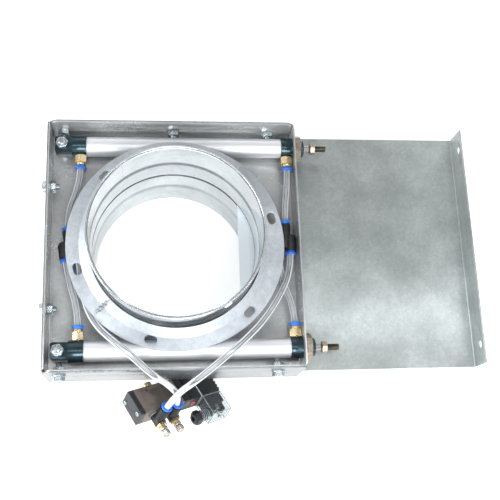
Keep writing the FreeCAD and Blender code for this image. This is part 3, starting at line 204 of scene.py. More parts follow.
finishes = {
    "plateZinc": sheetFinish(    # even bright grey with small faint crystals
        "galvanised sheet, bright rolled", ("#AAAAAA", "#C9CACA", "#E7E8E8"), (0.22, 0.3), 4, 0.03, 0.5),
    "wallZinc": sheetFinish(    # paler and glossier, mirrors what stands near
        "galvanised sheet, folded wall", ("#B9BBBD", "#D5D7D9", "#F0F2F4"), (0.13, 0.2), 8, 0.03, 0.65),
    "wrapShadedZinc": sheetFinish(    # painted shade: a darker copy of the galvanised sheet, for the shade on the outer band's faces
        "galvanised sheet, dulled outer band", ("#74777A", "#919497", "#AEB1B4"), (0.24, 0.32), 8, 0.03,
        0.5),
    "cutEdge": metalFinish(    # painted shade: a nearly black line standing in for the shadow in the blade's slot
        "laser cut edge, dark oxide", ("#2F3336", "#3D4245"), (0.5, 0.6), 1.2, 0.4),
    "bladeZinc": sheetFinish(    # clouded grey, with painted light: pale bluish-white at the end that reaches into the duct
        "galvanised sheet, dull spangle", ("#858B8A", "#A9AFAE", "#CDD3D3"), (0.26, 0.34), 4, 0.03, 0.4,
        ductEndLight),
    "spigotZinc": sheetFinish(    # close to a mirror, in long soft waves
        "galvanised sheet, rolled spigot", ("#ABB0B3", "#C9CED1", "#E7ECEF"), (0.08, 0.13), 9, 0.015, 0.8),
    "ringZinc": sheetFinish(    # matt, with a patchy pale bloom
        "hot-dip zinc, dull pressed ring", ("#8F949A", "#B7BCC2", "#DFE4E9"), (0.42, 0.52), 5, 0.05, 0.5),
    "weld": metalFinish(    # coarse lumps, partly sprayed pale
        "rough arc weld, zinc sprayed", ("#5E6266", "#C6CBCE"), (0.3, 0.5), 2.2, 0.6, depth=0.3),
    "barrel": metalFinish(    # satin white with fine lengthwise lines
        "anodised aluminium, drawn satin tube", ("#E6E6E9", "#ECECEF"), (0.38, 0.44), 0.8, 0.5,
        (0.02, 1, 1), 0.001),
    "capBlack": metalFinish(    # blue-black with a soft gleam
        "black anodised aluminium, turned", ("#34444B", "#3F5159"), (0.17, 0.25), 1.5, 0.8, depth=0.001),
    "bronzeNut": metalFinish(    # warm grey-brown, paler in patches
        "bronze-brown passivated steel", ("#8F8272", "#B0A596"), (0.3, 0.42), 3.0, 0.7, depth=0.002),
    "threadSteel": metalFinish(    # dark brown between the crests
        "cut steel thread, oiled", ("#4C463E", "#6F665A"), (0.3, 0.42), 1.0, 0.9),
    "chromeRod": metalFinish(    # sharp bright lines along a dark rod
        "hard chromed steel, ground", ("#9C9A98", "#ABA9A7"), (0.08, 0.12), 1.0, depth=0.0005),
    "boltZinc": metalFinish(    # cool and bright
        "blue-white zinc plated steel", ("#B4BDC1", "#C6CFD3"), (0.2, 0.3), 2.0, 0.85, depth=0.001),
    "bush": metalFinish(    # dull brown, open grained
        "sintered bronze", ("#7A5A36", "#94713F"), (0.4, 0.5), 0.8),
    "brass": metalFinish(    # pale gold with clear highlights
        "turned brass", ("#CBB58B", "#E0CFA9"), (0.2, 0.3), 1.5, 0.85, depth=0.001),
    "nickel": metalFinish(    # warm silver
        "nickel plated brass", ("#A79E95", "#CBC4BC"), (0.18, 0.28), 1.5, 0.9),
    "steelPart": metalFinish(    # even mid grey
        "ground steel", ("#8C8C8C", "#B0B0B0"), (0.2, 0.3), 1.2),
    "valveBrown": mouldedFinish(    # brown-grey, between metal and paint
        "brown-grey anodised casting", ("#7B7069", "#887D75"), (0.34, 0.46), 0.5, 0.012, 0.4),
    "black": mouldedFinish(    # soft black, finely grained
        "glass-filled nylon, moulded", ("#1B1C1F", "#25272A"), (0.36, 0.48), 0.35),
    "charcoal": mouldedFinish(    # a shade lighter than the black
        "charcoal nylon, moulded", ("#303235", "#3C3E41"), (0.38, 0.5), 0.35),
    "rubber": mouldedFinish(    # flat black without shine
        "nitrile rubber", ("#141414", "#1D1D1D"), (0.55, 0.7), 0.6),
    "gasket": mouldedFinish(    # pale chalky grey
        "pale fibre gasket", ("#C9CCCB", "#DADCDB"), (0.6, 0.75), 0.5),
    "blue": mouldedFinish(    # strong blue with a waxy shine
        "acetal, blue moulded", ("#2F78E6", "#4289F0"), (0.26, 0.36), 0.5, 0.006),
    "clearEdge": mouldedFinish(    # milky grey lines along the clear box
        "clear polycarbonate, frosted edge", ("#989FA3", "#BAC1C4"), (0.15, 0.25), 0.6, 0.003),
    "red": mouldedFinish(    # raspberry red with a waxy shine
        "red acetal button", ("#C42347", "#D43A5C"), (0.26, 0.34), 0.5, 0.006),
    "clearShell": clearFinish(    # like glass, grey where the wall turns away
        "clear polycarbonate, moulded", (0.04, 0.1),
        [(0.05, 0.03), (0.45, 0.06), (0.7, 0.2), (0.9, 0.5), (1.0, 0.7)],
        [(0.0, "#F2F5F6"), (0.5, "#B9C0C4"), (1.0, "#7C8488")], 6),
    "tube": clearFinish(    # milky sides with two grey lines where the bore's wall shows
        "clear polyurethane tube", (0.05, 0.1),
        [(0.0, 0.34), (0.15, 0.3), (0.21, 0.62), (0.28, 0.62), (0.36, 0.92), (0.7, 0.88), (0.85, 0.85),
         (1.0, 0.8)],
        [(0.0, "#FFFFFF"), (0.1, "#F6F8F9"), (0.16, "#767E83"), (0.22, "#80888D"), (0.29, "#FFFFFF"),
         (0.66, "#FFFFFF"), (0.8, "#9098A0"), (1.0, "#A0A8AD")], 9),
}
print("finishes made:", len(finishes))

# Air tubes: NURBS lines with the route's own points

tubeWide = 8
tubeRoutes = {
    "upperLeftTube": {"length": 103.2, "points": [
        (-113.5, 108.6, 22), (-113.5, 80, 22), (-129.62, 36.43, 22), (-125.33, 7.75, 22)]},
    "lowerLeftTube": {"length": 104.2, "points": [
        (-130.8, -6.42, 22), (-125.62, -41.03, 22), (-113.5, -80, 22), (-113.5, -108.6, 22)]},
    "leftValveTube": {"length": 275.8, "points": [
        (-115.96, -4.2, 22), (-111.53, -33.87, 22), (-106, -72, 24), (-91.7, -100, 32.5),
        (-70.4, -120.6, 43), (-48, -141, 51.5), (-27, -160.5, 48.5), (-9.5, -166.5, 18),
        (4.82, -179.73, 2.64), (-1.92, -192.22, -20.67)]},
    "upperRightTube": {"length": 93.4, "points": [
        (141.5, 108.6, 22), (141.5, 82, 22), (136.38, 45.53, 22), (134.81, 15.57, 22)]},
    "lowerRightTube": {"length": 113.7, "points": [
        (126.63, 2.78, 22), (125.38, -21.19, 22), (131.5, -50, 17.5), (141.5, -80, 22),
        (141.5, -108.6, 22)]},
    "rightValveTube": {"length": 299.2, "points": [
        (141.61, 1.99, 22), (140.31, -22.97, 22), (132, -52, 30), (105.2, -93.9, 37),
        (77, -122.4, 48), (50, -145, 58), (22, -166.5, 52.5), (-2.0, -178.72, 15.63),
        (-16.68, -197.26, -11.9)]},
}


def nodeOf(name):
    return "".join("_" + c.lower() if c.isupper() else c for c in name)    # wallBolts for wall_bolts


def declare(piece, body, node=None):
    # a piece stands for the CAD node of its own name, where there is one
    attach(piece, body)
    node = node or nodeOf(piece.name)
    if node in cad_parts:
        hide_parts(node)


def layTube(name, route):
    curve = bpy.data.curves.new(name, "CURVE")
    curve.dimensions = "3D"
    spline = curve.splines.new("NURBS")
    spline.points.add(len(route["points"]) - 1)
    for spot, values in zip(spline.points, route["points"]):
        spot.co = (values[0] / 1000, values[1] / 1000, values[2] / 1000, 1)
    spline.order_u = 3
    spline.use_endpoint_u = True
    spline.resolution_u = 24
    curve.bevel_depth = tubeWide / 2000
    curve.bevel_resolution = 8
    curve.use_fill_caps = True
    curve.materials.append(finishes["tube"])
    piece = addObject(name, curve)
    declare(piece, "housing")


for tubeName, tubeRoute in tubeRoutes.items():
    layTube(tubeName, tubeRoute)
print("air tubes laid:", len(tubeRoutes))

# Shapes: every builder adds to a bmesh, in millimetres, inside its own placing matrix

here = Matrix.Identity(4)
sideWays = {"+Z": here, "-Z": Matrix.Rotation(math.pi, 4, "X"),
            "+X": Matrix.Rotation(math.pi / 2, 4, "Y"), "-X": Matrix.Rotation(-math.pi / 2, 4, "Y"),
            "+Y": Matrix.Rotation(-math.pi / 2, 4, "X"), "-Y": Matrix.Rotation(math.pi / 2, 4, "X")}
hexagon = {"steps": 72, "round": 0.12, "slope": 0.577, "mouth": 0.4}    # slope: a chamfer of 30 degrees
tipTaper = 0.8    # how far a thread draws in over its last millimetre


def placed(x, y, z, way="+Z", spin=0):
    return Matrix.Translation((x, y, z)) @ sideWays[way] @ Matrix.Rotation(math.radians(spin), 4, "Z")


def aroundRow(steps, spot):
    # one closed row of points; spot gives the distance from the axis and the height at an angle
    row = []
    for i in range(steps):
        angle = 2 * math.pi * i / steps
        reach, height = spot(angle)
        row.append(Vector((reach * math.cos(angle), reach * math.sin(angle), height)))
    return row


def circleRow(radius, height, steps=48, shape=None):
    if radius == 0:
        return [Vector((0, 0, height))]
    return aroundRow(steps, lambda angle: (shape(angle, radius) if shape else radius, height))


def skin(bm, matrix, rows, closed=False):
    made = [[bm.verts.new(matrix @ spot) for spot in row] for row in rows]
    for low, high in list(zip(made, made[1:])) + ([(made[-1], made[0])] if closed else []):
        count = max(len(low), len(high))
        for i in range(count):
            j = (i + 1) % count
            if len(low) == 1:
                bm.faces.new((low[0], high[j], high[i]))
            elif len(high) == 1:
                bm.faces.new((low[i], low[j], high[0]))
            else:
                bm.faces.new((low[i], low[j], high[j], high[i]))


def eased(points, ease, closed=False):
    # each sharp corner of a profile becomes a short curve
    result = []
    count = len(points)
    for i, (r, z) in enumerate(points):
        before, after = points[i - 1], points[(i + 1) % count]
        corner = Vector((r, z))
        into, out = Vector(before) - corner, Vector(after) - corner
        reach = min(ease, into.length * 0.4, out.length * 0.4)
        if (not closed and i in (0, count - 1)) or reach < 0.02 or r == 0:
            result.append((r, z))
            continue
        first, last = corner + into.normalized() * reach, corner + out.normalized() * reach
        for t in (0, 0.5, 1):
            spot = first * (1 - t) ** 2 + corner * 2 * t * (1 - t) + last * t * t
            result.append((spot.x, spot.y))
    return result


def turn(bm, matrix, profile, ease=0.3, steps=48, closed=False, shape=None):
    rows = [circleRow(r, z, steps, shape) for r, z in eased(profile, ease, closed)]
    skin(bm, matrix, rows, closed)


def sleeve(bm, matrix, bore, radius, low, high, ease=0.2, steps=48):
    # a plain tube, or a pin where the bore is 0
    turn(bm, matrix, [(bore, low), (radius, low), (radius, high), (bore, high)], ease, steps, bool(bore))


def nut(bm, matrix, flats, height, bore=0.0, chamfer=0.96, both=True):
    # a hexagon with slightly rounded corners, chamfered at its far end or at both
    steps, ring = hexagon["steps"], flats / 2 * chamfer

    def side(base, rise):
        def spot(angle):
            off = abs((angle % (math.pi / 3)) - math.pi / 6)
            reach = min(flats / 2 / math.cos(off), flats / math.sqrt(3) - hexagon["round"])
            return reach, base + rise * max(0.0, (reach - ring) * hexagon["slope"])
        return aroundRow(steps, spot)

    mouth = bore + hexagon["mouth"] if bore else 0
    rows = [circleRow(mouth, 0, steps), circleRow(ring if both else flats / 2 * 0.99, 0, steps),
            side(0, 1 if both else 0), side(height, -1),
            circleRow(ring, height, steps), circleRow(mouth, height, steps)]
    if bore:
        rows += [circleRow(bore, height - hexagon["mouth"], steps), circleRow(bore, hexagon["mouth"], steps)]
    skin(bm, matrix, rows, bool(bore))


def threaded(bm, matrix, radius, length, pitch=1.25, depth=0.6, steps=32):
    # a true helix: the radius follows the turn and the height
    lines = max(2, round(length / pitch * 4))
    rows = [circleRow(0, 0)]
    for k in range(lines + 1):
        height = length * k / lines
        root = radius - (1 - min(1.0, length - height)) * tipTaper

        def spot(angle):
            phase = (height / pitch - angle / (2 * math.pi)) % 1
            return root - depth * (1 - abs(phase - 0.5) * 2), height
        rows.append(aroundRow(steps, spot))
    rows.append(circleRow(0, length))
    skin(bm, matrix, rows)


def screwHead(bm, matrix, radius, height, steps=48):
    # a dome with a cross recess: its width, reach and depth as shares of the head
    wide, far, deep = 0.16, 0.62, 0.55
    edge = radius * 0.97

    def crossed(r):
        def spot(angle):
            near, long = sorted((abs(r * math.cos(angle)), abs(r * math.sin(angle))))
            inCross = near < radius * wide and long < radius * far
            return r, height * (1 - 0.35 * (r / radius) ** 2) - (height * deep if inCross else 0)
        return aroundRow(steps, spot)

    rows = [circleRow(0, 0), circleRow(edge, 0, steps), circleRow(radius, height * 0.25, steps)]
    rows += [crossed(edge * k / 9.5 + 0.02) for k in range(9, -1, -1)] + [circleRow(0, height * 0.4)]
    skin(bm, matrix, rows)


def about(middle, half):
    return middle - half, middle + half


def softBlock(bm, matrix, xs, ys, zs, ease, segments=1):
    # a block with eased edges, from its three ranges
    low, high = (Vector(corner) for corner in zip(xs, ys, zs))
    size, middle = high - low, (high + low) / 2
    made = bmesh.ops.create_cube(bm, size=1.0)["verts"]
    bmesh.ops.transform(bm, matrix=Matrix.Translation(middle) @ Matrix.Diagonal((*size, 1)), verts=made)
    edges = list({edge for vert in made for edge in vert.link_edges})
    result = bmesh.ops.bevel(bm, geom=edges, offset=ease, segments=segments, profile=0.6, affect="EDGES")
    verts = list(set(result["verts"]) | {v for v in made if v.is_valid})
    faces = {f for v in verts for f in v.link_faces}
    verts = list({v for f in faces for v in f.verts})
    bmesh.ops.transform(bm, matrix=matrix, verts=verts)


# Pieces: from a bmesh in millimetres to a finished object in metres

def newPiece(name, bm, finish, sharp=32):
    # smooth, with a sharp edge where faces turn by more than that many degrees
    bmesh.ops.recalc_face_normals(bm, faces=bm.faces)
    mesh = bpy.data.meshes.new(name)
    bm.to_mesh(mesh)
    bm.free()
    mesh.transform(Matrix.Scale(0.001, 4))
    mesh.materials.append(finishes[finish])
    mesh.polygons.foreach_set("use_smooth", [True] * len(mesh.polygons))
    mesh.set_sharp_from_angle(angle=math.radians(sharp))
    return addObject(name, mesh)


def finishPiece(name, bm, finish, body="housing", sharp=32, node=None):
    declare(newPiece(name, bm, finish, sharp), body, node)


def plainMesh(piece):
    # the piece with its modifiers applied, as a mesh of its own; the piece goes
    bpy.context.view_layer.update()
    graph = bpy.context.evaluated_depsgraph_get()
    mesh = bpy.data.meshes.new_from_object(piece.evaluated_get(graph))
    piece.modifiers.clear()
    bpy.data.objects.remove(piece)
    return mesh


def softened(name, finish, ease=0.5, segments=2, angle=30, flatten=True, body="housing", node=None):
    # the node's own solid with its doubles merged and its sharp edges eased
    bm = bmesh.new()
    bm.from_mesh(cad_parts[node or nodeOf(name)].data)
    bmesh.ops.remove_doubles(bm, verts=bm.verts, dist=2e-6)
    if flatten:
        bmesh.ops.dissolve_limit(bm, angle_limit=math.radians(0.4), verts=bm.verts, edges=bm.edges)
    bm.transform(Matrix.Scale(1000, 4))
    raw = newPiece(name + "Raw", bm, finish)
    bevel = raw.modifiers.new("ease", "BEVEL")
    bevel.width = ease / 1000
    bevel.segments = segments
    bevel.limit_method = "ANGLE"
    bevel.angle_limit = math.radians(angle)
    bevel.use_clamp_overlap = True
    bm = bmesh.new()
    bm.from_mesh(plainMesh(raw))
    bm.transform(Matrix.Scale(1000, 4))
    finishPiece(name, bm, finish, body, node=node)


def startTree(name, inputs):
    # a Geometry Nodes tree with its named inputs, of which the last is always the finish
    tree = bpy.data.node_groups.new(name, "GeometryNodeTree")
    for label, kind in (("Geometry", "Geometry"), *inputs, ("Finish", "Material")):
        tree.interface.new_socket(label, in_out="INPUT", socket_type="NodeSocket" + kind)
    tree.interface.new_socket("Geometry", in_out="OUTPUT", socket_type="NodeSocketGeometry")
    return tree, addNode(tree, "NodeGroupInput").outputs


def closeTree(tree, entry, shape):
    real = addNode(tree, "GeometryNodeRealizeInstances", {"Geometry": shape})
    painted = addNode(tree, "GeometryNodeSetMaterial", {"Geometry": real, "Material": entry["Finish"]})
    addNode(tree, "NodeGroupOutput", {"Geometry": painted})
    return tree


def scatterTree(name):
    tree, entry = startTree(name, [("Shape", "Object"), ("Size", "Float")])
    aim = addNode(tree, "GeometryNodeInputNamedAttribute", {"data_type": "FLOAT_VECTOR", "Name": "aim"})
    facing = addNode(tree, "FunctionNodeEulerToRotation", {0: aim.outputs["Attribute"]})
    source = addNode(tree, "GeometryNodeObjectInfo", {
        "transform_space": "ORIGINAL", "Object": entry["Shape"]})
    spots = addNode(tree, "GeometryNodeInstanceOnPoints", {
        "Points": entry["Geometry"], "Instance": source.outputs["Geometry"], "Rotation": facing,
        "Scale": entry["Size"]})
    return closeTree(tree, entry, spots)


def sweepTree(name):
    tree, entry = startTree(name, [("Radius", "Float"), ("Steps", "Int")])
    path = addNode(tree, "GeometryNodeCurvePrimitiveCircle", {
        "Resolution": entry["Steps"], "Radius": entry["Radius"]})
    section = addNode(tree, "GeometryNodeMeshToCurve", {"Mesh": entry["Geometry"]})
    swept = addNode(tree, "GeometryNodeCurveToMesh", {"Curve": path, "Profile Curve": section})
    return closeTree(tree, entry, swept)


scatter = scatterTree("shape on marked points")
sweep = sweepTree("section swept round the duct")


def grown(name, mesh, tree, values):
    # what the tree makes of that mesh
    carrier = addObject(name + "Carrier", mesh)
    modifier = carrier.modifiers.new("make", "NODES")
    modifier.node_group = tree
    for item in tree.interface.items_tree:
        if item.in_out == "INPUT" and item.name in values:
            modifier[item.identifier] = values[item.name]
    return plainMesh(carrier)


def scattered(name, bm, places, finish, body="housing", sharp=32):
    # the shape in bm, once at each place
    shape = newPiece(name + "Shape", bm, finish, sharp)
    mesh = bpy.data.meshes.new(name + "Spots")
    mesh.from_pydata([tuple(place.translation / 1000) for place in places], [], [])
    aim = mesh.attributes.new("aim", "FLOAT_VECTOR", "POINT")
    aim.data.foreach_set("vector", [a for place in places for a in place.to_euler("XYZ")])
    result = grown(name, mesh, scatter, {"Shape": shape, "Size": 1.0, "Finish": finishes[finish]})
    result.name = name
    bpy.data.objects.remove(shape)
    declare(addObject(name, result), body)


axisHeight = 22
cylinderSides = (127, -127)
threadDeep = 0.5    # how far a nut's bore reaches into the thread

# Wall bolts: washer, chamfered hex head and threaded shank, nuts on the inside

wallBolt = {
    "flats": 13, "head": 5.3, "washer": 8, "washerThick": 1.6, "shank": 4, "length": 15.6, "nut": 6.5,
    "headSpin": 7, "nutSpin": 19, "sheets": 3, "height": 17.5, "wallY": 153.3, "wallX": 152,
    "alongX": (-134.5, 0.5, 119.5), "alongY": (76, -76)}


def makeWallBolts():
    b = wallBolt
    bolt, inside = bmesh.new(), bmesh.new()
    half, thick = b["flats"] / 2, b["washerThick"]
    turn(bolt, here, [(half, 0), (b["washer"], 0), (b["washer"], thick), (half - 1, thick)], 0.25)
    nut(bolt, placed(0, 0, thick, spin=b["headSpin"]), b["flats"], b["head"], both=False)
    threaded(bolt, placed(0, 0, thick, "-Z"), b["shank"], b["length"])
    nut(inside, placed(0, 0, 0, spin=b["nutSpin"]), b["flats"], b["nut"], b["shank"] - threadDeep)
    places = [placed(x, side * b["wallY"], b["height"], "+Y" if side > 0 else "-Y")
              for side in (1, -1) for x in b["alongX"][::1 if side > 0 else 2]]
    places += [placed(-b["wallX"], y, b["height"], "-X") for y in b["alongY"]]
    inward = Matrix.Translation((0, 0, -b["sheets"] - b["nut"]))
    scattered("wallBolts", bolt, places, "boltZinc")
    scattered("wallNuts", inside, [place @ inward for place in places], "boltZinc")


makeWallBolts()

# Clevis posts: stud, spacer and nut through the cylinder's eye

clevis = {
    "x": -135.3, "stud": 4, "length": 39.5, "plain": 24, "spacer": 7, "lift": 14, "nut": 6.5, "nutSpin": 12,
    "seat": 30, "flats": 13}


def makeClevises():
    c = clevis
    stud, top, spacer = bmesh.new(), bmesh.new(), bmesh.new()
    sleeve(stud, here, 0, c["stud"], 0, c["plain"])
    threaded(stud, placed(0, 0, c["plain"]), c["stud"], c["length"] - c["plain"])
    nut(top, placed(0, 0, 0, spin=c["nutSpin"]), c["flats"], c["nut"], c["stud"] - threadDeep)
    sleeve(spacer, here, c["stud"] + 0.2, c["spacer"], 0, c["lift"], 0.4)
    for name, shape, level in (("clevisStuds", stud, 0), ("clevisNuts", top, c["seat"]),
                               ("clevisSpacers", spacer, 0)):
        places = [placed(c["x"], y, level) for y in cylinderSides]
        scattered(name, shape, places, "boltZinc")


makeClevises()
print("fasteners repeated")

# Spigots: one sheet section swept round the duct, with a soft bead, a foot and a rolled lip

spigot = {
    "radius": 100, "wall": 1, "height": 84.7, "foot": 13, "bead": 36, "beadHalf": 6.5, "beadRise": 2.3,
    "roll": 1.35, "rollOff": 1.1, "grooveDeep": 0.35, "groove": (3.2, 1.5), "steps": 160, "rearTop": -5.1,
    "seamAngle": 128, "seamWide": 1.4, "seamProud": 0.3, "seamEnds": (2, 1.7)}


def spigotSection():
    # closed section, as distance from the duct's wall and height
    s = spigot
    wall, top = s["wall"], s["height"]

    def bulge(z):
        return s["beadRise"] * math.cos(min(1, abs(z - s["bead"]) / s["beadHalf"]) * math.pi / 2) ** 2

    heights = [s["bead"] + s["beadHalf"] * k / 8 for k in range(-8, 9)]
    points = [(0, 0), (s["foot"], 0), (s["foot"], 1), (wall + 1.5, 1), (wall + 0.4, 1.4), (wall, 2.5)]
    points += [(wall + bulge(z), z) for z in heights]
    points.append((wall + 0.2, top - 2 * s["roll"] - 0.9))
    for degrees in range(-100, 181, 20):    # the lip, rolled outward
        angle = math.radians(degrees)
        points.append((s["roll"] + s["rollOff"] + s["roll"] * math.cos(angle),
                       top - s["roll"] + s["roll"] * math.sin(angle)))
    low, high = s["groove"]    # the dark line between the lip and the wall inside it
    points += [(s["rollOff"], top - low), (s["grooveDeep"], top - low), (s["grooveDeep"], top - high),
               (0, top - high - 0.1)]
    return points + [(bulge(z), z) for z in reversed(heights)]


def makeSpigot(name, stand):
    s = spigot
    section = spigotSection()
    edges = [(i, (i + 1) % len(section)) for i in range(len(section))]
    mesh = bpy.data.meshes.new(name + "Section")
    mesh.from_pydata([(r / 1000, -z / 1000, 0) for r, z in section], edges, [])
    sizes = {"Radius": s["radius"] / 1000, "Steps": s["steps"], "Finish": finishes["spigotZinc"]}
    bm = bmesh.new()
    bm.from_mesh(grown(name, mesh, sweep, sizes))
    bmesh.ops.remove_doubles(bm, verts=bm.verts, dist=1e-6)
    bm.transform(Matrix.Scale(1000, 4))
    bm.transform(stand)
    finishPiece(name, bm, "spigotZinc", sharp=40)
    bm = bmesh.new()
    turned = stand @ Matrix.Rotation(math.radians(s["seamAngle"]), 4, "Z")
    for ends in ((s["seamEnds"][0], s["bead"] - s["beadHalf"]),
                 (s["bead"] + s["beadHalf"], s["height"] - s["seamEnds"][1])):
        softBlock(bm, turned, about(s["radius"], s["seamProud"]), about(0, s["seamWide"] / 2), ends, 0.12)
    finishPiece(name + "Seam", bm, "spigotZinc")


makeSpigot("frontSpigot", here)
makeSpigot("rearSpigot", placed(0, 0, spigot["rearTop"], "-Z"))

# Flange rings: eased edges and a rough weld where the strip's two ends meet

ring = {"x": 1.2, "y": -1.6, "seat": 34.3, "sheet": 2.5, "crease": 114.5, "rim": 103.6, "rise": 7,
        "weldAngle": 221.5, "weldIn": 104.5, "weldOut": 126, "weldWide": 7.4, "weldProud": 1.4,
        "weldSunk": 0.25, "weldSteps": 40, "weldAround": 20}


def makeRingWeld():
    # a rough patch across the strip, following the cone and the flat; sines out of step make its lumps
    r = ring
    steps, around = r["weldSteps"], r["weldAround"]
    rows = []
    for k in range(steps + 1):
        along = r["weldIn"] + (r["weldOut"] - r["weldIn"]) * k / steps
        level = r["sheet"] + max(0.0, (r["crease"] - along) / (r["crease"] - r["rim"])) * r["rise"]
        end = math.sin(math.pi * (k + 0.4) / (steps + 0.8)) ** 0.4
        wide = r["weldWide"] / 2 * end * (0.82 + 0.18 * math.sin(k * 1.3 + 0.6))
        row = []
        for i in range(around):
            a = 2 * math.pi * i / around
            side = math.cos(a)
            lump = 0.75 + 0.3 * math.sin(k * 1.9 + 5 * side) + 0.25 * math.sin(k * 0.9 - 7 * side)
            proud = r["weldProud"] * end * lump * max(0.0, math.sin(a)) ** 0.6
            drift = 0.5 * math.sin(k * 0.7)
            row.append(Vector((along, wide * side + drift, level - r["weldSunk"] + proud)))
        rows.append(row)
    ends = [[row[0].lerp(row[around // 2], 0.5)] for row in (rows[0], rows[-1])]
    bm = bmesh.new()
    skin(bm, placed(r["x"], r["y"], r["seat"], spin=r["weldAngle"]), [ends[0], *rows, ends[1]])
    finishPiece("ringWeld", bm, "weld", body="front_ring")


for side in ("front", "rear"):
    softened(side + "FlangeRing", "ringZinc", 0.35, 2, 15, False, side + "_ring")
makeRingWeld()
print("spigots and rings made")

# Housing sheets and blade: the folded solids with their cut edges broken

# the side wrapper takes the darker sheet, with its shade painted in
for name, finish in (("frontTray", "plateZinc"), ("rearTray", "wallZinc"), ("sideWrapper", "wrapShadedZinc")):
    softened(name, finish, 0.25, 2, 40, False)
softened("bladeSheet", "bladeZinc", 0.3, 2, 40, False, "blade", "blade")

# Painted shade: dark rings at both trays' duct holes, either side of the blade's slot, standing in for the
# slot's shadow

slotEdge = {"bore": 99.9, "outside": 101.3, "levels": ((-1.5, -0.05), (-5.05, -3.6)), "steps": 160}
bm = bmesh.new()
for low, high in slotEdge["levels"]:
    sleeve(bm, here, slotEdge["bore"], slotEdge["outside"], low, high, 0.1, slotEdge["steps"])
# the dark rings carry the slot's painted shadow
finishPiece("slotEdges", bm, "cutEdge")
print("sheets eased")

# Cylinders: rolled barrels, turned caps, threaded noses with their nuts, rods and rod nuts

cylinder = {
    "barrel": (-106.5, 134.5), "outer": 12, "inner": 10, "hold": 8, "nose": 10.9, "wall": 150.5, "rod": 4,
    "rodBack": -98.2, "rodTip": 192.9, "thread": 21.5, "noseFlats": 30, "noseNut": 9, "noseSpin": 30,
    "rodNutX": 172, "rodNut": 6.5, "rodFlats": 13}


def makeCylinder(side, y):
    c = cylinder
    start, end = c["barrel"]
    long, outer = end - start, c["outer"]
    bm = bmesh.new()
    turn(bm, placed(start, y, axisHeight, "+X"), [
        (c["inner"], 0), (outer - 0.4, 0), (outer, 0.5), (outer, c["hold"]), (outer, long - c["hold"]),
        (outer, long - 0.5), (outer - 0.4, long), (c["inner"], long)], 0.3, 96, closed=True)
    finishPiece(side + "Barrel", bm, "barrel", sharp=40)
    rod, threadStart = side + "_rod", c["rodTip"] - c["thread"]
    bm = bmesh.new()
    sleeve(bm, placed(c["rodBack"], y, axisHeight, "+X"), 0, c["rod"], 0, threadStart - c["rodBack"], 0.3)
    finishPiece(side + "Rod", bm, "chromeRod", rod, 40)
    bm = bmesh.new()
    threaded(bm, placed(threadStart, y, axisHeight, "+X"), c["rod"], c["thread"], 1.25, 0.7)
    finishPiece(side + "RodThread", bm, "threadSteel", rod)
    softened(side + "RearCap", "capBlack", 0.45)
    softened(side + "FrontCap", "capBlack", 0.35)
    bm = bmesh.new()
    nut(bm, placed(c["rodNutX"], y, axisHeight, "+X"), c["rodFlats"], c["rodNut"], c["rod"] - 0.6)
    finishPiece(side + "RodNut", bm, "bronzeNut", rod)


for side, y in zip(("upper", "lower"), cylinderSides):
    makeCylinder(side, y)
bm = bmesh.new()
nut(bm, placed(0, 0, 0, spin=cylinder["noseSpin"]), cylinder["noseFlats"], cylinder["noseNut"],
    cylinder["nose"] - 0.2)
nosePlaces = [placed(cylinder["wall"], y, axisHeight, "+X") for y in cylinderSides]
scattered("noseNuts", bm, nosePlaces, "bronzeNut")
print("cylinders made")

# Push-in fittings: hex, knurled neck and a blue release collar with a rolled rim

fitting = {
    "x": (-113.5, 141.5), "start": 114.6, "flats": 14, "hex": 10.4, "hexSpin": 30, "neck": 6.75,
    "neckLong": 2.6, "bore": 4.15, "thread": 4.8, "threadLong": 4.6, "threadBore": 2.55}
collar = {"port": 7.25, "branch": 7, "long": 4.5, "gap": 0.3}    # radius on the ports, and elsewhere


def fittingShape():
    f = fitting
    bm = bmesh.new()
    bore, neck, top = f["threadBore"], f["neck"], f["hex"] + f["neckLong"]
    turn(bm, here, [
        (bore, -f["threadLong"]), (f["thread"] - 0.5, -f["threadLong"]), (f["thread"], -4),
        (f["thread"], 0.2), (bore, 0.2)], 0.2, closed=True)
    nut(bm, placed(0, 0, 0, spin=f["hexSpin"]), f["flats"], f["hex"] - 0.6, f["bore"], 0.95)
    turn(bm, here, [
        (f["bore"], f["hex"] - 0.8), (neck - 0.7, f["hex"] - 0.8), (neck - 0.7, f["hex"]),
        (neck, f["hex"] + 0.5), (neck, top - 1.6), (neck - 0.35, top - 1.2), (neck - 0.35, top),
        (f["bore"], top)], 0.25, closed=True)
    return bm


def collarShape(radius):
    bore, long = fitting["bore"], collar["long"]
    bm = bmesh.new()
    turn(bm, here, [
        (bore, 0), (radius - 1.5, 0), (radius - 1.5, long * 0.42), (radius - 0.15, long * 0.5),
        (radius, long * 0.62), (radius, long - 0.5), (radius - 0.6, long), (bore + 0.5, long),
        (bore, long - 0.4)], 0.3, 64, closed=True)
    return bm


fittingPlaces = [placed(x, side * fitting["start"], axisHeight, way)
                 for side, way in ((1, "-Y"), (-1, "+Y")) for x in fitting["x"]]
outward = Matrix.Translation((0, 0, fitting["hex"] + fitting["neckLong"] + collar["gap"]))
collarPlaces = [place @ outward for place in fittingPlaces]
scattered("portFittings", fittingShape(), fittingPlaces, "brass")
scattered("portCollars", collarShape(collar["port"]), collarPlaces, "blue")

# Y unions: black moulded body with eased shoulders, blue collars

union = {"left": (-121.9, -15.2, 8.5), "right": (133.6, -7.6, -3), "long": 33.2, "spread": 7.5}
unionPlaces = []
for side in ("left", "right"):
    softened(side + "Union", "black", 0.8, 3)
    x, y, spin = union[side]
    base = placed(x, y, axisHeight, "+Z", spin)
    unionPlaces.append(base @ placed(0, union["long"] + collar["gap"], 0, "+Y"))
    unionPlaces += [base @ placed(leg * union["spread"], -collar["gap"], 0, "-Y") for leg in (-1, 1)]
scattered("unionCollars", collarShape(collar["branch"]), unionPlaces, "blue")
print("fittings and unions made")

# Solenoid valve, drawn in its own frame; ports: place along the body and lean of the arm in degrees

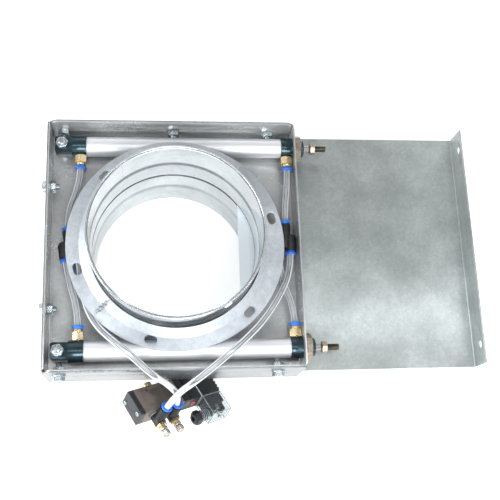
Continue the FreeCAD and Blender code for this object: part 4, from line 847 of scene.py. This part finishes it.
valve = {
    "place": (-46.6, -187.3, -19.5), "yaw": 18.8, "pitch": 29.4, "roll": -20.8, "half": 17.5,
    "ports": ((17, 6), (37, -5)), "stemUp": 13.6, "lockUp": 5.8, "knobUp": 9.6, "armLevel": 24.55,
    "armReach": 21.3}
valveFrame = (Matrix.Translation(valve["place"])
              @ Matrix.Rotation(math.radians(valve["yaw"]), 4, "Z")
              @ Matrix.Rotation(math.radians(valve["pitch"]), 4, "Y")
              @ Matrix.Rotation(math.radians(valve["roll"]), 4, "X"))


def onValve(x, y, z, way="+Z", spin=0):
    return valveFrame @ placed(x, y, z, way, spin)


softened("valveBody", "valveBrown")
softened("valveEndCap", "charcoal", 0.7, 3)
softened("valvePilot", "black")
softened("controllerBodies", "black")
softened("plugHousing", "clearShell", 0.75, 3)

# Speed controllers: hexagon stem, fluted lock nut, collar on the arm, knurled needle knob dished at its end

controller = {
    "bore": 2.1, "flats": 12, "hex": 4, "hexSpin": 14, "flange": 4.2, "neck": 4,
    "lock": [(2.1, 0), (4.7, 0), (5.2, 0.5), (5.2, 2.3), (4.7, 2.8), (2.1, 2.8)],
    "knob": [(0, 0), (4.2, 0), (4.95, 0.6), (4.95, 6.2), (4.3, 7.1), (1.5, 7.2), (1.5, 6.6), (0, 6.6)],
    "needle": [(0, 0), (2, 0), (2, 24), (0, 24.8)], "knurls": 26, "knurlDeep": 0.28, "flutes": 18,
    "fluteDeep": 0.2}


def stemShape():
    c = controller
    bm = bmesh.new()
    sleeve(bm, here, c["bore"], c["flange"], -0.6, 0.3, 0.1)
    nut(bm, placed(0, 0, 0.3, spin=c["hexSpin"]), c["flats"], c["hex"], c["bore"], 0.95)
    sleeve(bm, here, c["bore"], c["neck"], c["hex"] + 0.2, c["hex"] + 1.5, 0.25)
    return bm


def lockNutShape():
    def fluted(angle, radius):
        deep = controller["fluteDeep"] if radius > 4.5 else 0
        return radius - deep * abs(math.sin(controller["flutes"] / 2 * angle))

    bm = bmesh.new()
    turn(bm, here, controller["lock"], 0.2, 64, True, fluted)
    return bm


def knobShape():
    knurls = controller["knurls"]

    def knurled(angle, radius):
        deep = controller["knurlDeep"] if radius > 4.4 else 0
        return radius - deep * abs(math.sin(knurls * angle / 2)) ** 0.7

    bm = bmesh.new()
    turn(bm, here, controller["knob"], 0.2, knurls * 6, shape=knurled)
    turn(bm, placed(0, 0, 0.3, "-Z"), controller["needle"], 0.2, 24)
    return bm


stemPlaces, lockPlaces, knobPlaces, armPlaces = [], [], [], []
for port, lean in valve["ports"]:
    top = valve["half"] + valve["stemUp"]
    stemPlaces.append(onValve(port, -top, 0, "-Y"))
    lockPlaces.append(onValve(port, -top - valve["lockUp"], 0, "-Y"))
    knobPlaces.append(onValve(port, -top - valve["knobUp"], 0, "-Y"))
    tilt = Matrix.Translation((port, -valve["armLevel"], 0)) @ Matrix.Rotation(math.radians(lean), 4, "Y")
    armPlaces.append(valveFrame @ tilt @ Matrix.Translation((0, 0, valve["armReach"] + collar["gap"])))
scattered("controllerStems", stemShape(), stemPlaces, "brass")
scattered("controllerLockNuts", lockNutShape(), lockPlaces, "nickel")
scattered("controllerCollars", collarShape(collar["branch"]), armPlaces, "blue")
for name, body, place in zip(("needleKnobA", "needleKnobB"), ("knob_a", "knob_b"), knobPlaces):
    scattered(name, knobShape(), [place], "nickel", body, 28)

# End cap screws

capScrew = {"head": 2.9, "tall": 1.7, "pin": 1.5, "long": 11.6, "x": -7, "spots": ((-12, 5), (12, -5))}
bm = bmesh.new()
screwHead(bm, placed(0, 0, 0, "-X"), capScrew["head"], capScrew["tall"])
sleeve(bm, placed(-0.1, 0, 0, "+X"), 0, capScrew["pin"], 0, capScrew["long"], 0.2, 24)
screwPlaces = [onValve(capScrew["x"], y, z) for y, z in capScrew["spots"]]
scattered("endCapScrews", bm, screwPlaces, "boltZinc")

# Inlet adapter: turned brass, with a threaded root, a ribbed barrel and a chamfered mouth

adapter = {"x": 28, "bore": 2.5, "root": 4.8, "rootLong": 8, "barrel": [
    (2.5, 0), (5.6, 0), (6, 0.4), (6, 2.2), (5.6, 2.6), (5.6, 3), (6, 3.4), (6, 7.2), (5.3, 8), (4.4, 8),
    (4.15, 7.7), (4.15, 1), (2.5, 1)]}
bm = bmesh.new()
sleeve(bm, onValve(adapter["x"], valve["half"], 0, "-Y"), adapter["bore"], adapter["root"], 0,
       adapter["rootLong"], 0.3, 32)
turn(bm, onValve(adapter["x"], valve["half"], 0, "+Y"), adapter["barrel"], 0.15, 64, closed=True)
finishPiece("inletAdapter", bm, "brass")

# Solenoid coil: eased block with upright cooling ribs on its outer end, its gasket and its nut

coil = {
    "x": (82.6, 110.4), "y": (-17.5, 14), "half": 12, "edge": 1.5, "ribs": 6, "ribWide": 2.7, "ribTall": 1.6,
    "ribHalf": 11, "gap": 7.4, "clear": 6.4, "axis": -1.5, "flats": 12, "nut": 4.6, "nutSpin": 11, "stud": 3,
    "gasket": ((81.9, 82.7), (-17.8, 14.2), (-12.1, 12.1))}


def makeCoil():
    c = coil
    end, (low, high) = c["x"][1], c["y"]
    bm = bmesh.new()
    softBlock(bm, valveFrame, c["x"], c["y"], about(0, c["half"]), c["edge"], 3)
    pitch = (high - low - 2 * c["edge"]) / c["ribs"]
    whole, parted = [about(0, c["ribHalf"])], [(-c["ribHalf"], -c["gap"]), (c["gap"], c["ribHalf"])]
    for k in range(c["ribs"]):
        middle = low + c["edge"] + pitch * (k + 0.5)
        across = about(middle, c["ribWide"] / 2)
        for deep in parted if abs(middle - c["axis"]) < c["clear"] else whole:    # parted round the nut
            softBlock(bm, valveFrame, (end - 1, end + c["ribTall"]), across, deep, 0.4, 2)
    finishPiece("solenoidCoil", bm, "black")
    bm = bmesh.new()
    softBlock(bm, valveFrame, *c["gasket"], 0.2)
    finishPiece("coilGasket", bm, "gasket")
    bm = bmesh.new()
    nut(bm, onValve(end, c["axis"], 0, "+X", c["nutSpin"]), c["flats"], c["nut"], both=False)
    turn(bm, onValve(end + c["nut"], c["axis"], 0, "+X"),
         [(0, -0.2), (c["stud"], -0.2), (c["stud"], 1.2), (c["stud"] - 0.5, 1.7), (0, 1.7)], 0.15, 32)
    finishPiece("coilNut", bm, "boltZinc")


makeCoil()

# Manual override: a small red button, dished at its end

button = {"x": 73, "level": -12.8,
          "profile": [(0, 0), (3.4, 0), (3.4, 5), (3, 5.5), (2, 5.5), (1.7, 5.1), (0, 5)]}
bm = bmesh.new()
turn(bm, onValve(button["x"], button["level"], 0, "-Y"), button["profile"], 0.25)
finishPiece("overrideButton", bm, "red", "button")

# Connector: terminal block with three contact towers and an earth block, clamp screws, and its long screw

terminal = {
    "body": ((84.9, 109.1), (-31, -17.8), (-9.1, 9.1)), "rows": (5.8, 0, -5.8),
    "tower": ((88, 94), (-38.6, -30.4)), "towerHalf": 1.8, "earth": ((103, 107.6), (-40.4, -30.4), (-5, 5)),
    "screwPlace": (91, -38.7), "screw": (1.5, 1.1), "screwSpin": 20, "clamp": ((94.6, 99), (-38.1, -30.5)),
    "clampHalf": 1.2}
plugScrew = {"x": 97, "level": -45.8, "head": (2.9, 1.8), "spin": 15, "pin": 1.5, "long": 28}


def makeTerminals():
    t = terminal
    block, contacts = bmesh.new(), bmesh.new()
    softBlock(block, valveFrame, *t["body"], 0.6, 2)
    for z in reversed(t["rows"]):
        softBlock(block, valveFrame, *t["tower"], about(z, t["towerHalf"]), 0.3)
    softBlock(block, valveFrame, *t["earth"], 0.4)
    finishPiece("terminalBlock", block, "black")
    for z in t["rows"]:
        screwHead(contacts, onValve(*t["screwPlace"], z, "-Y", t["screwSpin"]), *t["screw"], 24)
        softBlock(contacts, valveFrame, *t["clamp"], about(z, t["clampHalf"]), 0.2)
    finishPiece("terminalContacts", contacts, "nickel")


makeTerminals()
bm = bmesh.new()
screwHead(bm, onValve(plugScrew["x"], plugScrew["level"], 0, "-Y", plugScrew["spin"]), *plugScrew["head"])
sleeve(bm, onValve(plugScrew["x"], plugScrew["level"] - 0.1, 0, "+Y"), 0, plugScrew["pin"], 0,
       plugScrew["long"], 0.2, 24)
finishPiece("plugScrew", bm, "boltZinc")

# Cable gland: six-sided nut with a waisted collar at its mouth, and the seal behind it

gland = {
    "level": -38, "start": 69.8, "long": 7.6, "flats": 16, "spin": 8, "bore": 3.5, "sealX": 73.2,
    "seal": 5.2, "sealLong": 7.6, "collar": [(3.5, -0.3), (6.9, -0.3), (6.6, 1.2), (5.4, 1.9), (3.5, 1.9)]}
bm = bmesh.new()
nut(bm, onValve(gland["start"], gland["level"], 0, "-X", gland["spin"]), gland["flats"], gland["long"],
    gland["bore"], 0.93)
turn(bm, onValve(gland["start"] - gland["long"] + 0.1, gland["level"], 0, "-X"), gland["collar"], 0.3,
     closed=True)
finishPiece("glandNut", bm, "black")
bm = bmesh.new()
sleeve(bm, onValve(gland["sealX"], gland["level"], 0, "+X"), gland["bore"], gland["seal"], 0,
       gland["sealLong"], 0.3, 40)
finishPiece("glandSeal", bm, "rubber")

# Frosted corners of the clear box, and the clamp ribs round its gland tube

shellEdge = {
    "x": (83.5, 110.5), "y": (-45.3, -18.3), "z": (-10.5, 10.5), "thick": 0.45,
    "ribs": (70.2, 72.9, 75.6, 78.3, 81), "rib": [(6.4, 0), (7.3, 0.15), (7.3, 0.65), (6.4, 0.8)]}


def makeShellEdges():
    e = shellEdge
    bm = bmesh.new()
    for a in (0, 1):
        for b in (0, 1):
            x, y, z = (about(middle, e["thick"]) for middle in (e["x"][a], e["y"][b], e["z"][b]))
            softBlock(bm, valveFrame, e["x"], about(e["y"][a], e["thick"]), z, 0.15)
            softBlock(bm, valveFrame, x, e["y"], z, 0.15)
            softBlock(bm, valveFrame, x, y, e["z"], 0.15)
    for x in e["ribs"]:
        turn(bm, onValve(x, gland["level"], 0, "+X"), e["rib"], 0.1, closed=True)
    finishPiece("shellEdges", bm, "clearEdge")


makeShellEdges()

# Pale sealing rings between the valve's body and its controllers

portSeal = {"bore": 4.9, "radius": 7.5, "thick": 0.6}
bm = bmesh.new()
for port, lean in valve["ports"]:
    sleeve(bm, onValve(port, -valve["half"], 0, "-Y"), portSeal["bore"], portSeal["radius"], 0,
           portSeal["thick"], 0.15, 56)
finishPiece("portSealRings", bm, "gasket")
print("valve made")

# Finishes of the nodes that stay as they are

nodeFinish = {
    "slot_spacer": "wallZinc", "upper_piston": "steelPart", "lower_piston": "steelPart",
    "spool": "steelPart", "rod_bushes": "bush", "rod_seals": "rubber"}
for nodeName, finishName in nodeFinish.items():
    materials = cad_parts[nodeName].data.materials
    materials.clear()
    materials.append(finishes[finishName])
print("nodes finished")

# Floor, lamps and background; each lamp has its place, the spot it faces, its two sides and its power

stageSetup = {"floor": -0.0899, "reach": 4.0, "floorTone": "#F4F4F2", "lampColour": (0.95, 0.98, 1.0),
              "lamps": [("stripLamp", (0.2, -0.15, 1.8), (0.2, -0.15, 0), (2.4, 0.16), 9),
                        ("leftLamp", (-2.0, -0.3, 0.95), (0, 0, 0), (1.2, 0.9), 36),
                        ("frontLamp", (0.2, -1.5, 1.6), (0, 0, 0), (1.4, 0.7), 34)],
              "roomLight": 0.3, "ceilingGlow": 0.42, "sideGlow": 1.25, "floorGlow": 0.6, "floorShine": 0.5}


def backgroundRays(tree):
    # what the eye sees straight or through clear plastic, and what a gloss mirrors
    path = addNode(tree, "LightPath").outputs
    seen = addNode(tree, "Math", {
        "operation": "MAXIMUM", 0: path["Is Camera Ray"], 1: path["Is Transmission Ray"]})
    return seen, path["Is Glossy Ray"]


def layFloor():
    s = stageSetup
    reach, low = s["reach"], s["floor"]
    mesh = bpy.data.meshes.new("floor")
    mesh.from_pydata([
        (-reach, -reach, low), (reach, -reach, low), (reach, reach, low), (-reach, reach, low)], [],
        [(0, 1, 2, 3)])
    material, tree, _ = startFinish("pale paper floor")
    shader = addNode(tree, "BsdfPrincipled", {"Base Color": toLinear(s["floorTone"]), "Roughness": 0.9})
    seen, mirrored = backgroundRays(tree)
    shine = addNode(tree, "Math", {"operation": "MULTIPLY", 0: mirrored, 1: s["floorShine"]})
    strength = addNode(tree, "Math", {"operation": "MULTIPLY_ADD", 0: seen, 1: s["floorGlow"], 2: shine})
    glow = addNode(tree, "Emission", {"Strength": strength})
    both = addNode(tree, "AddShader", {0: shader, 1: glow})
    addNode(tree, "OutputMaterial", {"Surface": both})
    mesh.materials.append(material)
    addObject("floor", mesh)


def hangLamp(name, place, goal, size, power):
    data = bpy.data.lights.new(name, "AREA")
    data.shape = "RECTANGLE"
    data.size, data.size_y = size
    data.energy = power
    data.color = stageSetup["lampColour"]
    lamp = addObject(name, data)
    lamp.location = place
    lamp.rotation_euler = (Vector(goal) - Vector(place)).to_track_quat("-Z", "Y").to_euler()


def lightRoom():
    # bright tent walls all round, a dimmer ceiling above
    s = stageSetup
    scene.world = bpy.data.worlds.new("studio")
    scene.world.use_nodes = True
    tree = scene.world.node_tree
    tree.nodes.clear()
    seen, mirrored = backgroundRays(tree)
    upward = addNode(tree, "SeparateXYZ", {0: addNode(tree, "TexCoord").outputs["Generated"]}).outputs[2]
    tent = addNode(tree, "MapRange", {
        "interpolation_type": "SMOOTHSTEP", "From Min": 0.5, "From Max": 0.9, "To Min": s["sideGlow"],
        "To Max": s["ceilingGlow"], "Value": upward})
    lit = addNode(tree, "Mix", {"Factor": mirrored, "A": s["roomLight"], "B": tent})
    strength = addNode(tree, "Mix", {"Factor": seen, "A": lit, "B": 1.0})
    light = addNode(tree, "Background", {"Color": (1, 1, 1, 1), "Strength": strength})
    addNode(tree, "OutputWorld", {"Surface": light})


layFloor()
for lampSetup in stageSetup["lamps"]:
    hangLamp(*lampSetup)
lightRoom()
scene.view_settings.view_transform = "Standard"
print("stage set")
